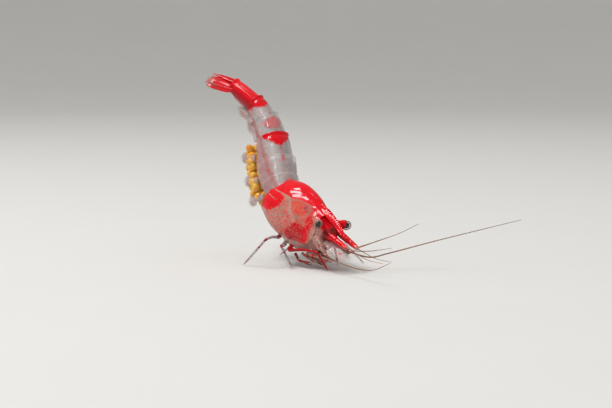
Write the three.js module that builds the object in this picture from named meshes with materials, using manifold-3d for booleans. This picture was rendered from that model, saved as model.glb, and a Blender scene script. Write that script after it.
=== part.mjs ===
// A cherry shrimp (Neocaridina davidi), an adult female carrying eggs, at life size, head down on a
// level floor with her tail raised. Millimetres. +X is the way she heads, +Y her left, +Z up, and
// the floor is z = 0 under the middle of her box.
//
// The body frame has its origin at the middle of the carapace's rear edge, x forward, y left and
// z towards her back. Each ring of the abdomen hangs in a group of its own behind the one before.

import * as THREE from 'three';
import { mergeVertices } from 'three/addons/utils/BufferGeometryUtils.js';
import Module from 'manifold-3d';

const wasm = await Module();
wasm.setup();

// ---- Stance ----
const HEAD_DOWN = 31.06; // degrees
const LEFT_SIDE_DOWN = 7;
const REAR_EDGE_HEIGHT = 8.4; // carapace's rear edge above the floor
const GAP = 0.1; // between neighbouring solids
const SIDES = [['right', -1], ['left', 1]];

// ---- Carapace: half-width and dorsal and ventral outline along the body ----
const CARAPACE_LENGTH = 7.0;
const WIDEST_AT = -2.45; // height of the greatest width
const BACK_FULLNESS = 1.55; // a keeled back above it
const FLANK_FULLNESS = 2.7; // and full flanks below
const CARAPACE_TOP = [[0, 0], [2, 0.91], [3.6, 1.15], [5.3, 1.05], [7, 0.62]];
const CARAPACE_BOTTOM = [[0, -3.9], [2, -4.3], [3.8, -4.4], [5.5, -4.05], [7, -3.3]];
const CARAPACE_HALF_WIDTH = [[0, 2.05], [1.5, 2.35], [3.5, 2.3], [5.5, 1.95], [7, 1.45]];
const REAR_EDGE_FORWARD = [[-4.3, 0.9], [-3.6, 0.45], [-2.9, 0.3], [-1.5, 0.12], [0, 0]];
const FRONT_EDGE_FORWARD = [[-3.3, -0.5], [-2.4, 0.3], [-0.8, 0.3], [0, -0.1], [0.7, -0.1]];

// ---- Rostrum ----
const ROSTRUM_ROOT = 6.95;
const ROSTRUM_TIP = 10.3;
const ROSTRUM_TOP = [[6.9, 0.9], [8.2, 0.79], [9.4, 0.5], [10.3, 0.12]];
const ROSTRUM_BOTTOM = [[6.9, 0.2], [8.2, 0.1], [9.4, 0.0], [10.3, -0.1]];
const ROSTRUM_HALF_WIDTH = [[6.9, 0.42], [8, 0.3], [10.3, 0.24]];

// ---- Head in front of the carapace ----
const HEAD_TIP = 9.0;
const HEAD_TOP = [[7.0, -0.35], [8.2, -0.5], [9.0, -1.0]];
const HEAD_BOTTOM = [[7.0, -3.15], [8.2, -2.6], [9.0, -1.7]];
const HEAD_HALF_WIDTH = [[7.0, 1.35], [7.9, 0.72], [9.0, 0.5]];

// ---- Eyes ----
const EYE_RADIUS = 0.42;
const EYE_AT = [7.85, 1.9, 0.13];
const STALK_FOOT = [7.5, 0.55, -0.02];
const STALK_RADIUS = 0.3;

// ---- Feelers ----
const FEELER_RADIUS = 0.23;
const PEDUNCLE_FOOT = [8.75, 0.88, -0.42];
const PEDUNCLE_TIP = [11.4, 0.75, -0.1];
const SCALE_FOOT = [9.35, 1.35, -1.15];
const SCALE_LENGTH = 3.1;
const ANTENNA_FOOT = [9.3, 1.5, -1.75];

// ---- Legs ----
const FOOT_RADIUS = 0.27;

// ---- Abdomen, front to rear: length, upward bend and left turn of each ring at its front joint,
// and half-height and half-width there ----
const ABDOMEN_JOINT = [0.2, 0, -1.75];
const RINGS = [
  { length: 1.3, bend: 14.5, turn: 7.2, halfHeight: 1.85, halfWidth: 1.75 },
  { length: 2.2, bend: 11.6, turn: 3.1, halfHeight: 2.0, halfWidth: 1.85 },
  { length: 2.7, bend: 4.9, turn: -2.7, halfHeight: 2.05, halfWidth: 1.85 },
  { length: 2.3, bend: -3.0, turn: -7.6, halfHeight: 1.8, halfWidth: 1.6 },
  { length: 2.1, bend: -10.0, turn: -8.2, halfHeight: 1.45, halfWidth: 1.3 },
  { length: 3.1, bend: -16.0, turn: -5.1, halfHeight: 1.13, halfWidth: 0.98 },
  { length: 3.3, bend: -18.3, turn: -7.8, halfHeight: 1.0, halfWidth: 0.85 },
];
const LAST_RING = 5; // the entry after it is the tail fan's joint

// ---- Eggs under the first three rings ----
const EGG_RADIUS = 0.52;
const EGG_SPACING = 0.75;
const EGG_LAYER = 0.68; // drop from the upper layer to the lower
const EGG_SIDE = 0.4;
const EGG_RINGS = 3;

// ---- Colours ----
const RED = '#c4161c';
const DARK_RED = '#8f1216';
const FLESH = '#d9a391';
const CLEAR = '#d8cfc8';
const EGG_YELLOW = '#e0a02c';
const EYE_BLACK = '#17110f';

const radians = THREE.MathUtils.degToRad;
const vector = (x, y, z) => new THREE.Vector3(x, y, z);

// A smooth curve through [place, value] pairs, flat beyond its ends.
function along(stations) {
  const last = stations.length - 1;
  const slope = (i) => {
    const a = stations[Math.max(i - 1, 0)];
    const b = stations[Math.min(i + 1, last)];
    return (b[1] - a[1]) / (b[0] - a[0]);
  };
  return (place) => {
    if (place <= stations[0][0]) return stations[0][1];
    if (place >= stations[last][0]) return stations[last][1];
    const i = stations.findIndex(([x]) => x > place) - 1;
    const [x0, v0] = stations[i];
    const [x1, v1] = stations[i + 1];
    const span = x1 - x0;
    const t = (place - x0) / span;
    const rise = v0 * (1 - t) ** 2 * (1 + 2 * t) + v1 * t ** 2 * (3 - 2 * t);
    return rise + span * t * (1 - t) * (slope(i) * (1 - t) - slope(i + 1) * t);
  };
}

// Keeps only the places of a closed geometry, shares its vertices and turns its faces outwards.
function closed(geometry) {
  geometry.deleteAttribute('normal');
  geometry.deleteAttribute('uv');
  const merged = mergeVertices(geometry, 1e-4);
  const at = merged.attributes.position;
  const index = merged.index.array;
  const [a, b, c] = [vector(), vector(), vector()];
  let volume = 0;
  for (let i = 0; i < index.length; i += 3) {
    a.fromBufferAttribute(at, index[i]);
    b.fromBufferAttribute(at, index[i + 1]);
    c.fromBufferAttribute(at, index[i + 2]);
    volume += a.dot(b.cross(c));
  }
  if (volume < 0) {
    for (let i = 0; i < index.length; i += 3) {
      [index[i], index[i + 1]] = [index[i + 1], index[i]];
    }
  }
  merged.computeVertexNormals();
  return merged;
}

// A closed cylinder whose points are moved to place(s, angle, reach): s runs from 0 to 1 along it,
// and reach is 1 on its wall and 0 at the middle of its two ends.
function loft(steps, sides, place) {
  const geometry = new THREE.CylinderGeometry(1, 1, 1, sides, steps);
  const at = geometry.attributes.position;
  for (let i = 0; i < at.count; i += 1) {
    const reach = Math.hypot(at.getX(i), at.getZ(i));
    const angle = Math.atan2(at.getZ(i), at.getX(i));
    const p = place(at.getY(i) + 0.5, angle, reach);
    at.setXYZ(i, p.x, p.y, p.z);
  }
  return closed(geometry);
}

// A body section's side and height at an angle from the back's midline. Fullness 2 is an ellipse.
function section(angle, halfWidth, above, below, fullness) {
  const bend = (value) => Math.sign(value) * Math.abs(value) ** (2 / fullness);
  const rise = bend(Math.cos(angle));
  return [halfWidth * bend(Math.sin(angle)), rise * (rise > 0 ? above : below)];
}

// A jointed tube with a ring at each point, and its last ring level where it stands on the floor.
function limb(points, radii, sides, stands) {
  const last = points.length - 1;
  const across = vector(0.3, 0.9, 0.2);
  const rings = points.map((point, i) => {
    const inward = point.clone().sub(points[Math.max(i - 1, 0)]).normalize();
    const outward = points[Math.min(i + 1, last)].clone().sub(point).normalize();
    const way = stands && i === last ? vector(0, 0, -1) : inward.add(outward).normalize();
    across.addScaledVector(way, -across.dot(way)).normalize();
    return { point, u: across.clone(), v: way.clone().cross(across) };
  });
  return loft(last, sides, (s, angle, reach) => {
    const i = Math.round(s * last);
    const { point, u, v } = rings[i];
    return point.clone()
      .addScaledVector(u, reach * radii[i] * Math.cos(angle))
      .addScaledVector(v, reach * radii[i] * Math.sin(angle));
  });
}

// A feeler: one even round section drawn along a smooth curve.
function feeler(points, steps) {
  const ring = new THREE.Shape();
  ring.absarc(0, 0, FEELER_RADIUS, 0, 2 * Math.PI);
  const path = new THREE.CatmullRomCurve3(points, false, 'centripetal');
  const settings = { steps, curveSegments: 3, bevelEnabled: false, extrudePath: path };
  return closed(new THREE.ExtrudeGeometry(ring, settings));
}

// A rounded blade from x = 0 back to x = -length, flat side up.
function blade(length, halfWidth, halfThickness, root) {
  const outline = along([[0, root], [0.35, 0.85], [0.65, 1], [0.88, 0.82], [1, 0.4]]);
  return loft(6, 10, (s, angle, reach) => vector(
    -s * length,
    reach * Math.cos(angle) * halfWidth * outline(s),
    reach * Math.sin(angle) * halfThickness,
  ));
}

function toSolid(geometry) {
  const vertProperties = new Float32Array(geometry.attributes.position.array);
  const triVerts = new Uint32Array(geometry.index.array);
  return new wasm.Manifold(new wasm.Mesh({ numProp: 3, vertProperties, triVerts }));
}

function toGeometry(solid) {
  const mesh = solid.getMesh();
  const geometry = new THREE.BufferGeometry();
  geometry.setAttribute('position', new THREE.BufferAttribute(mesh.vertProperties, 3));
  geometry.setIndex(new THREE.BufferAttribute(mesh.triVerts, 1));
  geometry.computeVertexNormals();
  return geometry;
}

// What is left of a body's solid when its neighbour, moved a little back or forward, is cut away.
function trimmed(geometry, neighbour, shift) {
  const cutter = toSolid(neighbour.clone().translate(shift, 0, 0));
  return toGeometry(toSolid(geometry).subtract(cutter));
}

function add(parent, name, geometry, color, roughness) {
  const material = new THREE.MeshStandardMaterial({ color, roughness, metalness: 0 });
  const mesh = new THREE.Mesh(geometry, material);
  mesh.name = name;
  parent.add(mesh);
  return mesh;
}

// ---- The groups ----
const shrimp = new THREE.Group();
const body = new THREE.Group();
body.name = 'body';
body.position.set(0, 0, REAR_EDGE_HEIGHT);
body.rotation.set(-radians(LEFT_SIDE_DOWN), radians(HEAD_DOWN), 0, 'YXZ');
shrimp.add(body);
shrimp.updateMatrixWorld(true);

// A place on the body, given in the floor's frame.
const fromBody = (x, y, z) => body.localToWorld(vector(x, y, z));

// ---- Carapace, rostrum, head ----
function carapaceGeometry() {
  const top = along(CARAPACE_TOP);
  const bottom = along(CARAPACE_BOTTOM);
  const halfWidth = along(CARAPACE_HALF_WIDTH);
  const rear = along(REAR_EDGE_FORWARD);
  const front = along(FRONT_EDGE_FORWARD);
  return loft(11, 24, (s, angle, reach) => {
    const x = s * CARAPACE_LENGTH;
    const above = top(x) - WIDEST_AT;
    const below = WIDEST_AT - bottom(x);
    const fullness = Math.cos(angle) > 0 ? BACK_FULLNESS : FLANK_FULLNESS;
    const [side, rise] = section(angle, halfWidth(x), above, below, fullness);
    const z = WIDEST_AT + reach * rise;
    return vector(x + (1 - s) ** 2 * rear(z) + s ** 2 * front(z), reach * side, z);
  });
}

function rostrumGeometry() {
  const top = along(ROSTRUM_TOP);
  const bottom = along(ROSTRUM_BOTTOM);
  const halfWidth = along(ROSTRUM_HALF_WIDTH);
  return loft(6, 8, (s, angle, reach) => {
    const x = THREE.MathUtils.lerp(ROSTRUM_ROOT, ROSTRUM_TIP, s);
    const half = (top(x) - bottom(x)) / 2;
    const [side, rise] = section(angle, halfWidth(x), half, half, 1.7);
    return vector(x + GAP, reach * side, bottom(x) + half + reach * rise);
  });
}

function headGeometry() {
  const top = along(HEAD_TOP);
  const bottom = along(HEAD_BOTTOM);
  const halfWidth = along(HEAD_HALF_WIDTH);
  return loft(6, 16, (s, angle, reach) => {
    const x = THREE.MathUtils.lerp(CARAPACE_LENGTH - 0.3, HEAD_TIP, s);
    const half = (top(x) - bottom(x)) / 2;
    const [side, rise] = section(angle, halfWidth(x), half, half, 2.3);
    const z = bottom(x) + half + reach * rise;
    return vector(x, reach * side, z);
  });
}

const carapace = carapaceGeometry();
add(body, 'carapace', carapace, RED, 0.3);
add(body, 'rostrum', rostrumGeometry(), RED, 0.3);
add(body, 'head', trimmed(headGeometry(), carapace, GAP), FLESH, 0.4);

// The breastplate that the legs grow from, and the mouthparts in front of it.
function underside(from, to, top, halfWidth, depth, name) {
  const geometry = loft(5, 10, (s, angle, reach) => {
    const x = THREE.MathUtils.lerp(from, to, s);
    const taper = 1 - 0.45 * (2 * s - 1) ** 2;
    const half = depth / 2;
    const [side, rise] = section(angle, halfWidth * taper, half, half, 2.6);
    return vector(x, reach * side, top(x) - GAP - half + reach * rise);
  });
  add(body, name, geometry, FLESH, 0.45);
}
underside(2.7, 6.4, along(CARAPACE_BOTTOM), 0.8, 0.45, 'thorax');
underside(6.9, 8.5, along([[6.9, -3.4], [7.5, -3.2], [8.5, -2.6]]), 0.42, 0.55, 'mouthparts');

// ---- Eyes ----
for (const [name, side] of SIDES) {
  const eye = vector(EYE_AT[0], side * EYE_AT[1], EYE_AT[2]);
  const foot = vector(STALK_FOOT[0], side * STALK_FOOT[1], STALK_FOOT[2]);
  const way = eye.clone().sub(foot);
  const end = eye.clone().addScaledVector(way, -(EYE_RADIUS + 0.06) / way.length());
  const middle = foot.clone().lerp(end, 0.5);
  const radii = [STALK_RADIUS * 0.9, STALK_RADIUS, STALK_RADIUS * 1.1];
  add(body, `eyestalk_${name}`, limb([foot, middle, end], radii, 8, false), RED, 0.3);
  const ball = add(body, `eye_${name}`, closed(new THREE.SphereGeometry(EYE_RADIUS, 12, 8)),
    EYE_BLACK, 0.08);
  ball.position.copy(eye);
}

// ---- Antennules: stout peduncles, each with an outer and an inner feeler ----
const FEELER_WAYS = {
  // places along each feeler, forward, left and up from its root in the floor's frame
  antennule_outer_left: [[0.9, 1.2, 0.5], [2.5, 3.1, 1.4], [3.6, 4.6, 2.3]],
  antennule_inner_left: [[0.8, 0.5, -0.5], [1.6, 1.2, -1.0], [2.6, 2.4, -1.35]],
  antennule_outer_right: [[1.3, 0.1, -0.2], [3.0, 0.7, -0.1], [5.0, 1.6, 0.3]],
  antennule_inner_right: [[1.2, 0.3, -0.55], [2.6, 0.5, -1.0], [4.2, 0.9, -1.2]],
  antenna_left: [[1.4, 1.7, -0.6], [2.6, 3.3, -0.2], [5.6, 7.3, 1.1], [10.3, 13.5, 3.0]],
  antenna_right: [[1.5, -0.3, -0.6], [4.6, -0.3, -1.1], [8.2, -1.0, -0.9], [12.3, -2.4, 0.3]],
};

// The feeler's points, from a root on the body out along its way.
function feelerPoints(root, way) {
  return [root, ...FEELER_WAYS[way].map(([x, y, z]) => root.clone().add(vector(x, y, z)))];
}

for (const [name, side] of SIDES) {
  const foot = vector(PEDUNCLE_FOOT[0], side * PEDUNCLE_FOOT[1], PEDUNCLE_FOOT[2]);
  const tip = vector(PEDUNCLE_TIP[0], side * PEDUNCLE_TIP[1], PEDUNCLE_TIP[2]);
  const points = [0, 0.5, 0.56, 0.8, 0.84, 1].map((share) => foot.clone().lerp(tip, share));
  const radii = [0.44, 0.4, 0.36, 0.37, 0.36, 0.38];
  add(body, `antennule_${name}`, limb(points, radii, 10, false), RED, 0.3);
  for (const [part, spread] of [['outer', 0.26], ['inner', -0.26]]) {
    const root = fromBody(tip.x + 0.2, tip.y + side * spread, tip.z);
    const line = feeler(feelerPoints(root, `antennule_${part}_${name}`), 9);
    add(shrimp, `antennule_flagellum_${part}_${name}`, line, FLESH, 0.4);
  }
}

// ---- Antennae: a stout base, a broad scale and a long feeler in two lengths ----
for (const [name, side] of SIDES) {
  const knuckles = [[8.1, 1.2, -1.5], [8.7, 1.33, -1.5], [9.2, 1.4, -1.5]];
  const base = knuckles.map(([x, y, z]) => vector(x, side * y, z));
  add(body, `antenna_base_${name}`, limb(base, [0.4, 0.5, 0.36], 10, false), FLESH, 0.4);
  const scale = add(body, `antenna_scale_${name}`, blade(SCALE_LENGTH, 0.6, 0.24, 0.5), CLEAR, 0.3);
  scale.position.set(SCALE_FOOT[0] + 0.05, side * SCALE_FOOT[1], SCALE_FOOT[2] + 0.05);
  scale.rotation.set(side * radians(25), radians(2), Math.PI + side * radians(-6), 'ZYX');
  const root = fromBody(ANTENNA_FOOT[0] + 0.25, side * ANTENNA_FOOT[1], ANTENNA_FOOT[2] + 0.1);
  const points = feelerPoints(root, `antenna_${name}`);
  const path = new THREE.CatmullRomCurve3(points, false, 'centripetal');
  const split = 0.45;
  const piece = (from, to) => [0, 0.25, 0.5, 0.75, 1]
    .map((share) => path.getPointAt(THREE.MathUtils.lerp(from, to, share)));
  const lapse = GAP / 2 / path.getLength();
  add(shrimp, `antenna_feeler_near_${name}`, feeler(piece(0, split - lapse), 9), RED, 0.4);
  add(shrimp, `antenna_feeler_far_${name}`, feeler(piece(split + lapse, 1), 9), RED, 0.4);
}

// ---- Maxillipeds and claw legs, held under the mouth ----
const FRONT_LIMBS = {
  // hip, knee, wrist and tip of the right one in the body's frame, with y outwards
  maxilliped: [[7.3, 0.68, -3.85], [8.2, 0.68, -3.45], [9.2, 0.6, -3.05], [10.4, 0.45, -2.55]],
  leg_1: [[6.5, 0.42, -4.4], [7.4, 0.38, -4.3], [8.1, 0.4, -4.0], [9.0, 0.42, -3.65]],
  leg_2: [[6.0, 0.72, -4.85], [6.9, 0.88, -4.95], [7.6, 0.88, -4.65], [8.5, 0.85, -4.2]],
};
const FRONT_LIMB_RADII = {
  maxilliped: [0.23, 0.23, 0.22, 0.22, 0.2],
  leg_1: [0.24, 0.23, 0.22, 0.28, 0.2],
  leg_2: [0.25, 0.23, 0.22, 0.28, 0.2],
};
for (const [name, side] of SIDES) {
  for (const [limbName, joints] of Object.entries(FRONT_LIMBS)) {
    const points = joints.map(([x, y, z]) => vector(x, side * y, z));
    points.splice(3, 0, points[2].clone().lerp(points[3], 0.45));
    const geometry = limb(points, FRONT_LIMB_RADII[limbName], 8, false);
    add(body, `${limbName}_${name}`, geometry, DARK_RED, 0.35);
  }
}

// ---- Walking legs ----
// Lengths from hip to main bend and from there to the foot, the hip in the body's frame with y
// outwards, the foot on the floor, and the way the bend points.
const WALKING_LEGS = {
  leg_3_right: { lengths: [4.25, 2.1], hip: [5.5, 1.24, -4.72], foot: [7.1, -0.8], bend: [0.4, -0.45, 0.9] },
  leg_3_left: { lengths: [2.9, 3.0], hip: [5.3, 1.15, -4.75], foot: [4.8, 2.4], bend: [0.5, 1, 0.8] },
  leg_4_right: { lengths: [2.9, 2.8], hip: [4.5, 1.15, -4.85], foot: [3.2, -2.1], bend: [0.8, -1, 0.5] },
  leg_4_left: { lengths: [2.9, 3.3], hip: [4.4, 1.15, -4.85], foot: [0.7, 3.3], bend: [0, 1, 0.6] },
  leg_5_right: { lengths: [3.0, 3.8], hip: [3.5, 1.15, -4.85], foot: [-1.0, -5.0], bend: [1, -0.6, 0.6] },
  leg_5_left: { lengths: [3.0, 3.9], hip: [3.4, 1.15, -4.85], foot: [-4.4, 2.2], bend: [0.2, 1, 0.6] },
};

// Where the knee sits when a thigh and a shin of set lengths join a hip to a foot.
function kneePlace(hip, foot, thigh, shin, towards) {
  const way = foot.clone().sub(hip);
  const distance = way.length();
  way.normalize();
  const share = (thigh ** 2 - shin ** 2 + distance ** 2) / (2 * distance);
  const height = Math.sqrt(Math.max(thigh ** 2 - share ** 2, 0));
  const out = towards.clone().addScaledVector(way, -towards.dot(way)).normalize();
  return hip.clone().addScaledVector(way, share).addScaledVector(out, height);
}

for (const [legName, stance] of Object.entries(WALKING_LEGS)) {
  const side = legName.endsWith('left') ? 1 : -1;
  const hip = fromBody(stance.hip[0], side * stance.hip[1], stance.hip[2]);
  const foot = vector(...stance.foot, 0);
  const knee = kneePlace(hip, foot, ...stance.lengths, vector(...stance.bend));
  const wrist = knee.clone().lerp(foot, 0.3);
  const ankle = knee.clone().lerp(foot, 0.86);
  const points = [hip, hip.clone().lerp(knee, 0.25), knee, wrist, ankle, foot];
  const radii = [0.3, 0.3, 0.27, 0.26, 0.25, FOOT_RADIUS];
  add(shrimp, legName, limb(points, radii, 8, true), DARK_RED, 0.35);
}

// ---- Abdomen ----
const ringGroups = [];
let parent = body;
RINGS.forEach((ring, i) => {
  const group = new THREE.Group();
  const place = i === 0 ? ABDOMEN_JOINT : [-RINGS[i - 1].length, 0, 0];
  group.position.set(...place);
  group.rotation.set(0, radians(ring.bend), -radians(ring.turn), 'YZX');
  parent.add(group);
  ringGroups.push(group);
  parent = group;
});
shrimp.updateMatrixWorld(true);

// One ring of the shell. Its ends lie in the planes halfway between its way and its neighbours'.
function ringGeometry(i) {
  const ring = RINGS[i];
  const next = RINGS[i + 1];
  const tan = (degrees) => Math.tan(radians(degrees) / 2);
  return loft(3, 20, (s, angle, reach) => {
    const swell = 1 + 0.03 * Math.sin(Math.PI * s);
    const halfWidth = THREE.MathUtils.lerp(ring.halfWidth, next.halfWidth, s) * swell;
    const halfHeight = THREE.MathUtils.lerp(ring.halfHeight, next.halfHeight, s) * swell;
    const lobe = 0.86 + 0.14 * Math.sin(Math.PI * s);
    const [side, rise] = section(angle, halfWidth, halfHeight, halfHeight * lobe, 2.2);
    const y = reach * side;
    const z = reach * rise;
    const front = -y * tan(ring.turn) - z * tan(ring.bend) - GAP / 2;
    const rear = -ring.length + y * tan(next.turn) + z * tan(next.bend) + GAP / 2;
    return vector(THREE.MathUtils.lerp(i === 0 ? front + 0.6 : front, rear, s), y, z);
  });
}

// The first ring tucks under the carapace's rear edge, so the carapace is cut out of it.
function firstRingGeometry() {
  const intoBody = ringGroups[0].matrix;
  const ring = trimmed(ringGeometry(0).applyMatrix4(intoBody), carapace, -GAP);
  return ring.applyMatrix4(intoBody.clone().invert());
}

for (let i = 0; i <= LAST_RING; i += 1) {
  const geometry = i === 0 ? firstRingGeometry() : ringGeometry(i);
  add(ringGroups[i], `abdomen_${i + 1}`, geometry, i === LAST_RING ? RED : CLEAR, 0.3);
}

// ---- Swimmerets, a pair of paddles hanging under each of the first five rings ----
for (let i = 0; i < LAST_RING; i += 1) {
  const ring = RINGS[i];
  const under = (ring.halfHeight + RINGS[i + 1].halfHeight) / 2;
  const besideEggs = i < EGG_RINGS;
  const length = besideEggs ? 2.1 : 1.7;
  const outwards = besideEggs ? 1.28 : 0.6;
  const top = besideEggs ? -0.83 * under - GAP : -under - GAP - 0.1;
  for (const [name, side] of SIDES) {
    const paddle = add(ringGroups[i], `swimmeret_${i + 1}_${name}`, blade(length, 0.55, 0.25, 0.75),
      CLEAR, 0.4);
    paddle.position.set(-0.5 * ring.length, side * outwards, top);
    paddle.rotation.set(radians(90), radians(-76), 0, 'YXZ');
  }
}

// ---- Eggs, one clutch between the paddles: rows of four round a core that fills their middle ----
function eggsGeometry() {
  const egg = closed(new THREE.OctahedronGeometry(EGG_RADIUS, 1));
  const core = [];
  const eggs = [];
  for (let i = 0; i < EGG_RINGS; i += 1) {
    const rows = Math.ceil(RINGS[i].length / EGG_SPACING);
    const under = (RINGS[i].halfHeight + RINGS[i + 1].halfHeight) / 2;
    for (let row = 0; row < rows; row += 1) {
      const back = -(row + 0.5) * RINGS[i].length / rows;
      const top = -under - EGG_RADIUS - GAP;
      const onRing = (x, y, z) => body.worldToLocal(ringGroups[i].localToWorld(vector(x, y, z)));
      core.push(onRing(back, 0, top - EGG_LAYER / 2));
      for (const side of [-EGG_SIDE, EGG_SIDE]) {
        eggs.push(onRing(back, side, top), onRing(back - EGG_LAYER / 3, side * 0.8, top - EGG_LAYER));
      }
    }
  }
  let clutch = toSolid(limb(core, core.map(() => EGG_RADIUS * 0.8), 8, false));
  for (const { x, y, z } of eggs) {
    clutch = clutch.add(toSolid(egg.clone().translate(x, y, z)));
  }
  return toGeometry(clutch);
}
add(body, 'eggs', eggsGeometry(), EGG_YELLOW, 0.3);

// ---- Tail fan: the telson above, two pairs of blades folded down beside it like a roof ----
const tail = ringGroups[LAST_RING + 1];
const telson = add(tail, 'telson', blade(3.1, 0.5, 0.25, 1), RED, 0.3);
telson.position.set(-GAP, 0, 0.72);
telson.rotation.y = radians(-3);
for (const [name, side] of SIDES) {
  const inner = add(tail, `uropod_inner_${name}`, blade(3.2, 0.5, 0.25, 0.6), RED, 0.3);
  inner.position.set(-GAP, side * 0.8, 0.12);
  inner.rotation.set(side * radians(-50), radians(-1), side * radians(-3), 'ZYX');
  const outer = add(tail, `uropod_outer_${name}`, blade(3.3, 0.5, 0.25, 0.6), RED, 0.3);
  outer.position.set(-GAP, side * 1.24, -0.76);
  outer.rotation.set(side * radians(-80), radians(1), side * radians(-4), 'ZYX');
}

// ---- Stand the shrimp on the floor, over the middle of her box ----
shrimp.updateMatrixWorld(true);
const box = new THREE.Box3().setFromObject(shrimp, true);
shrimp.position.set(-(box.min.x + box.max.x) / 2, -(box.min.y + box.max.y) / 2, -box.min.z);
shrimp.updateMatrixWorld(true);

export default shrimp;
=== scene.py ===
"""A cherry shrimp carrying eggs, as a life-size still model, finished over its measured frame."""

import math
from contextlib import contextmanager

import bpy
import numpy as np
from bpy.props import FloatProperty, FloatVectorProperty, IntProperty, PointerProperty
from bpy.types import Operator, Panel, PropertyGroup
from mathutils import Matrix, Vector


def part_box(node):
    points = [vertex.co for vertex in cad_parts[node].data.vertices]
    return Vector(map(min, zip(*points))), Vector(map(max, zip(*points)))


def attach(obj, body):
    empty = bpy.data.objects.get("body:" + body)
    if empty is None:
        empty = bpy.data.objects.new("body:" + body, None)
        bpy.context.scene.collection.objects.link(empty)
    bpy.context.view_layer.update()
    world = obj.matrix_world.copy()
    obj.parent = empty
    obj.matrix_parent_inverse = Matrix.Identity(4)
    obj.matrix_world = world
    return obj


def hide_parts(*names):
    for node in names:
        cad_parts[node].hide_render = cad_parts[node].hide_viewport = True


bl_info = {
    "name": "Cherry Shrimp",
    "version": (1, 0, 0),
    "blender": (4, 5, 0),
    "location": "View3D > Sidebar > Shrimp",
    "description": "Builds a cherry shrimp with eggs over its measured frame",
    "category": "Add Mesh",
}

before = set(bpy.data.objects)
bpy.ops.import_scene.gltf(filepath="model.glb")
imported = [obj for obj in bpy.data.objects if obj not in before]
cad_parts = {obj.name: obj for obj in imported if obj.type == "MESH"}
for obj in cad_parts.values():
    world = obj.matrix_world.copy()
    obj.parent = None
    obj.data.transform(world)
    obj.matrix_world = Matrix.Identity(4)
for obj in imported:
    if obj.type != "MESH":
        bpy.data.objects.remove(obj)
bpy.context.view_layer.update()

# Pieces are shaped in millimetres and brought to metres as they are put in place.
MM = 0.001
TURN = 2 * math.pi
SIDES = (("right", -1), ("left", 1))


# ---- Measures of the body, in millimetres ----
HEAD_DOWN = 31.06  # degrees
LEFT_SIDE_DOWN = 7  # degrees
EYE_AT = Vector((7.85, 1.9, 0.13))
CARAPACE_LENGTH = 7.0
WIDEST_AT = -2.45
BACK_FULLNESS, FLANK_FULLNESS, BELLY_FULLNESS, PLATE_FULLNESS = 1.62, 2.6, 2.3, 2.15
CARAPACE_TOP = ((0, 0), (2, 0.91), (3.6, 1.15), (5.3, 1.05), (7, 0.62))
CARAPACE_BOTTOM = ((0, -4.2), (2, -4.6), (3.8, -4.55), (5.5, -4.1), (7, -3.3))
CARAPACE_HALF_WIDTH = ((0, 2.12), (1.5, 2.4), (3.5, 2.33), (5.5, 1.95), (7, 1.45))
REAR_EDGE_FORWARD = ((-4.6, 0.75), (-3.9, 0.28), (-2.9, 0.16), (-1.5, 0.1), (0, 0))
FRONT_EDGE_FORWARD = ((-3.3, -0.3), (-2.4, 0.5), (-1.2, 0.42), (-0.5, 0.12), (0, -0.1), (0.7, -0.1))
ROSTRUM_TOP = ((5.6, 0.95), (6.9, 0.93), (8.2, 0.8), (9.4, 0.5), (10.3, 0.12))
ROSTRUM_BOTTOM = ((5.6, 0.1), (6.9, 0.08), (8.2, -0.04), (9.4, -0.12), (10.3, -0.08))
ROSTRUM_HALF_WIDTH = ((5.6, 0.5), (6.9, 0.44), (8, 0.36), (9.4, 0.26), (10.3, 0.08))
# length, bend and turn at the front joint, half-height and half-width of each ring, then of the fan
RINGS = (
    (1.3, 14.5, 7.2, 1.85, 1.75),
    (2.2, 11.6, 3.1, 2.0, 1.85),
    (2.7, 4.9, -2.7, 2.05, 1.85),
    (2.3, -3.0, -7.6, 1.8, 1.6),
    (2.1, -10.0, -8.2, 1.45, 1.3),
    (3.1, -16.0, -5.1, 1.13, 0.98),
    (3.3, -18.3, -7.8, 1.0, 0.85),
)
ABDOMEN_JOINT = Vector((0.2, 0, -1.75))


# ---- Frames ----
def turn(axis, degrees):
    return Matrix.Rotation(math.radians(degrees), 4, axis)


def shift(*place):
    return Matrix.Translation(place)


def middle(node):
    low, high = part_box(node)
    return (low + high) / 2


BODY = (
    Matrix.Translation((middle("eye_right") + middle("eye_left")) / 2)
    @ turn("Y", HEAD_DOWN)
    @ turn("X", -LEFT_SIDE_DOWN)
    @ Matrix.Scale(MM, 4)
    @ shift(-EYE_AT.x, 0, -EYE_AT.z)
)
FLOOR = Matrix.Scale(MM, 4)
REAR_EDGE = BODY @ Vector((0, 0, 0)) / MM


def on_floor(x, y, z):
    """A place in the body's measures, in millimetres of the floor's frame."""
    return BODY @ Vector((x, y, z)) / MM


def mirrored(place, side):
    """A place given for the left side, put on either."""
    x, y, z = place
    return Vector((x, side * y, z))


def ring_frames():
    frames = []
    here = Matrix.Translation(ABDOMEN_JOINT)
    for length, bend, side_turn, _, _ in RINGS:
        here = here @ turn("Y", bend) @ turn("Z", -side_turn)
        frames.append(here.copy())
        here = here @ shift(-length, 0, 0)
    return frames


RING_FRAMES = ring_frames()


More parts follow.
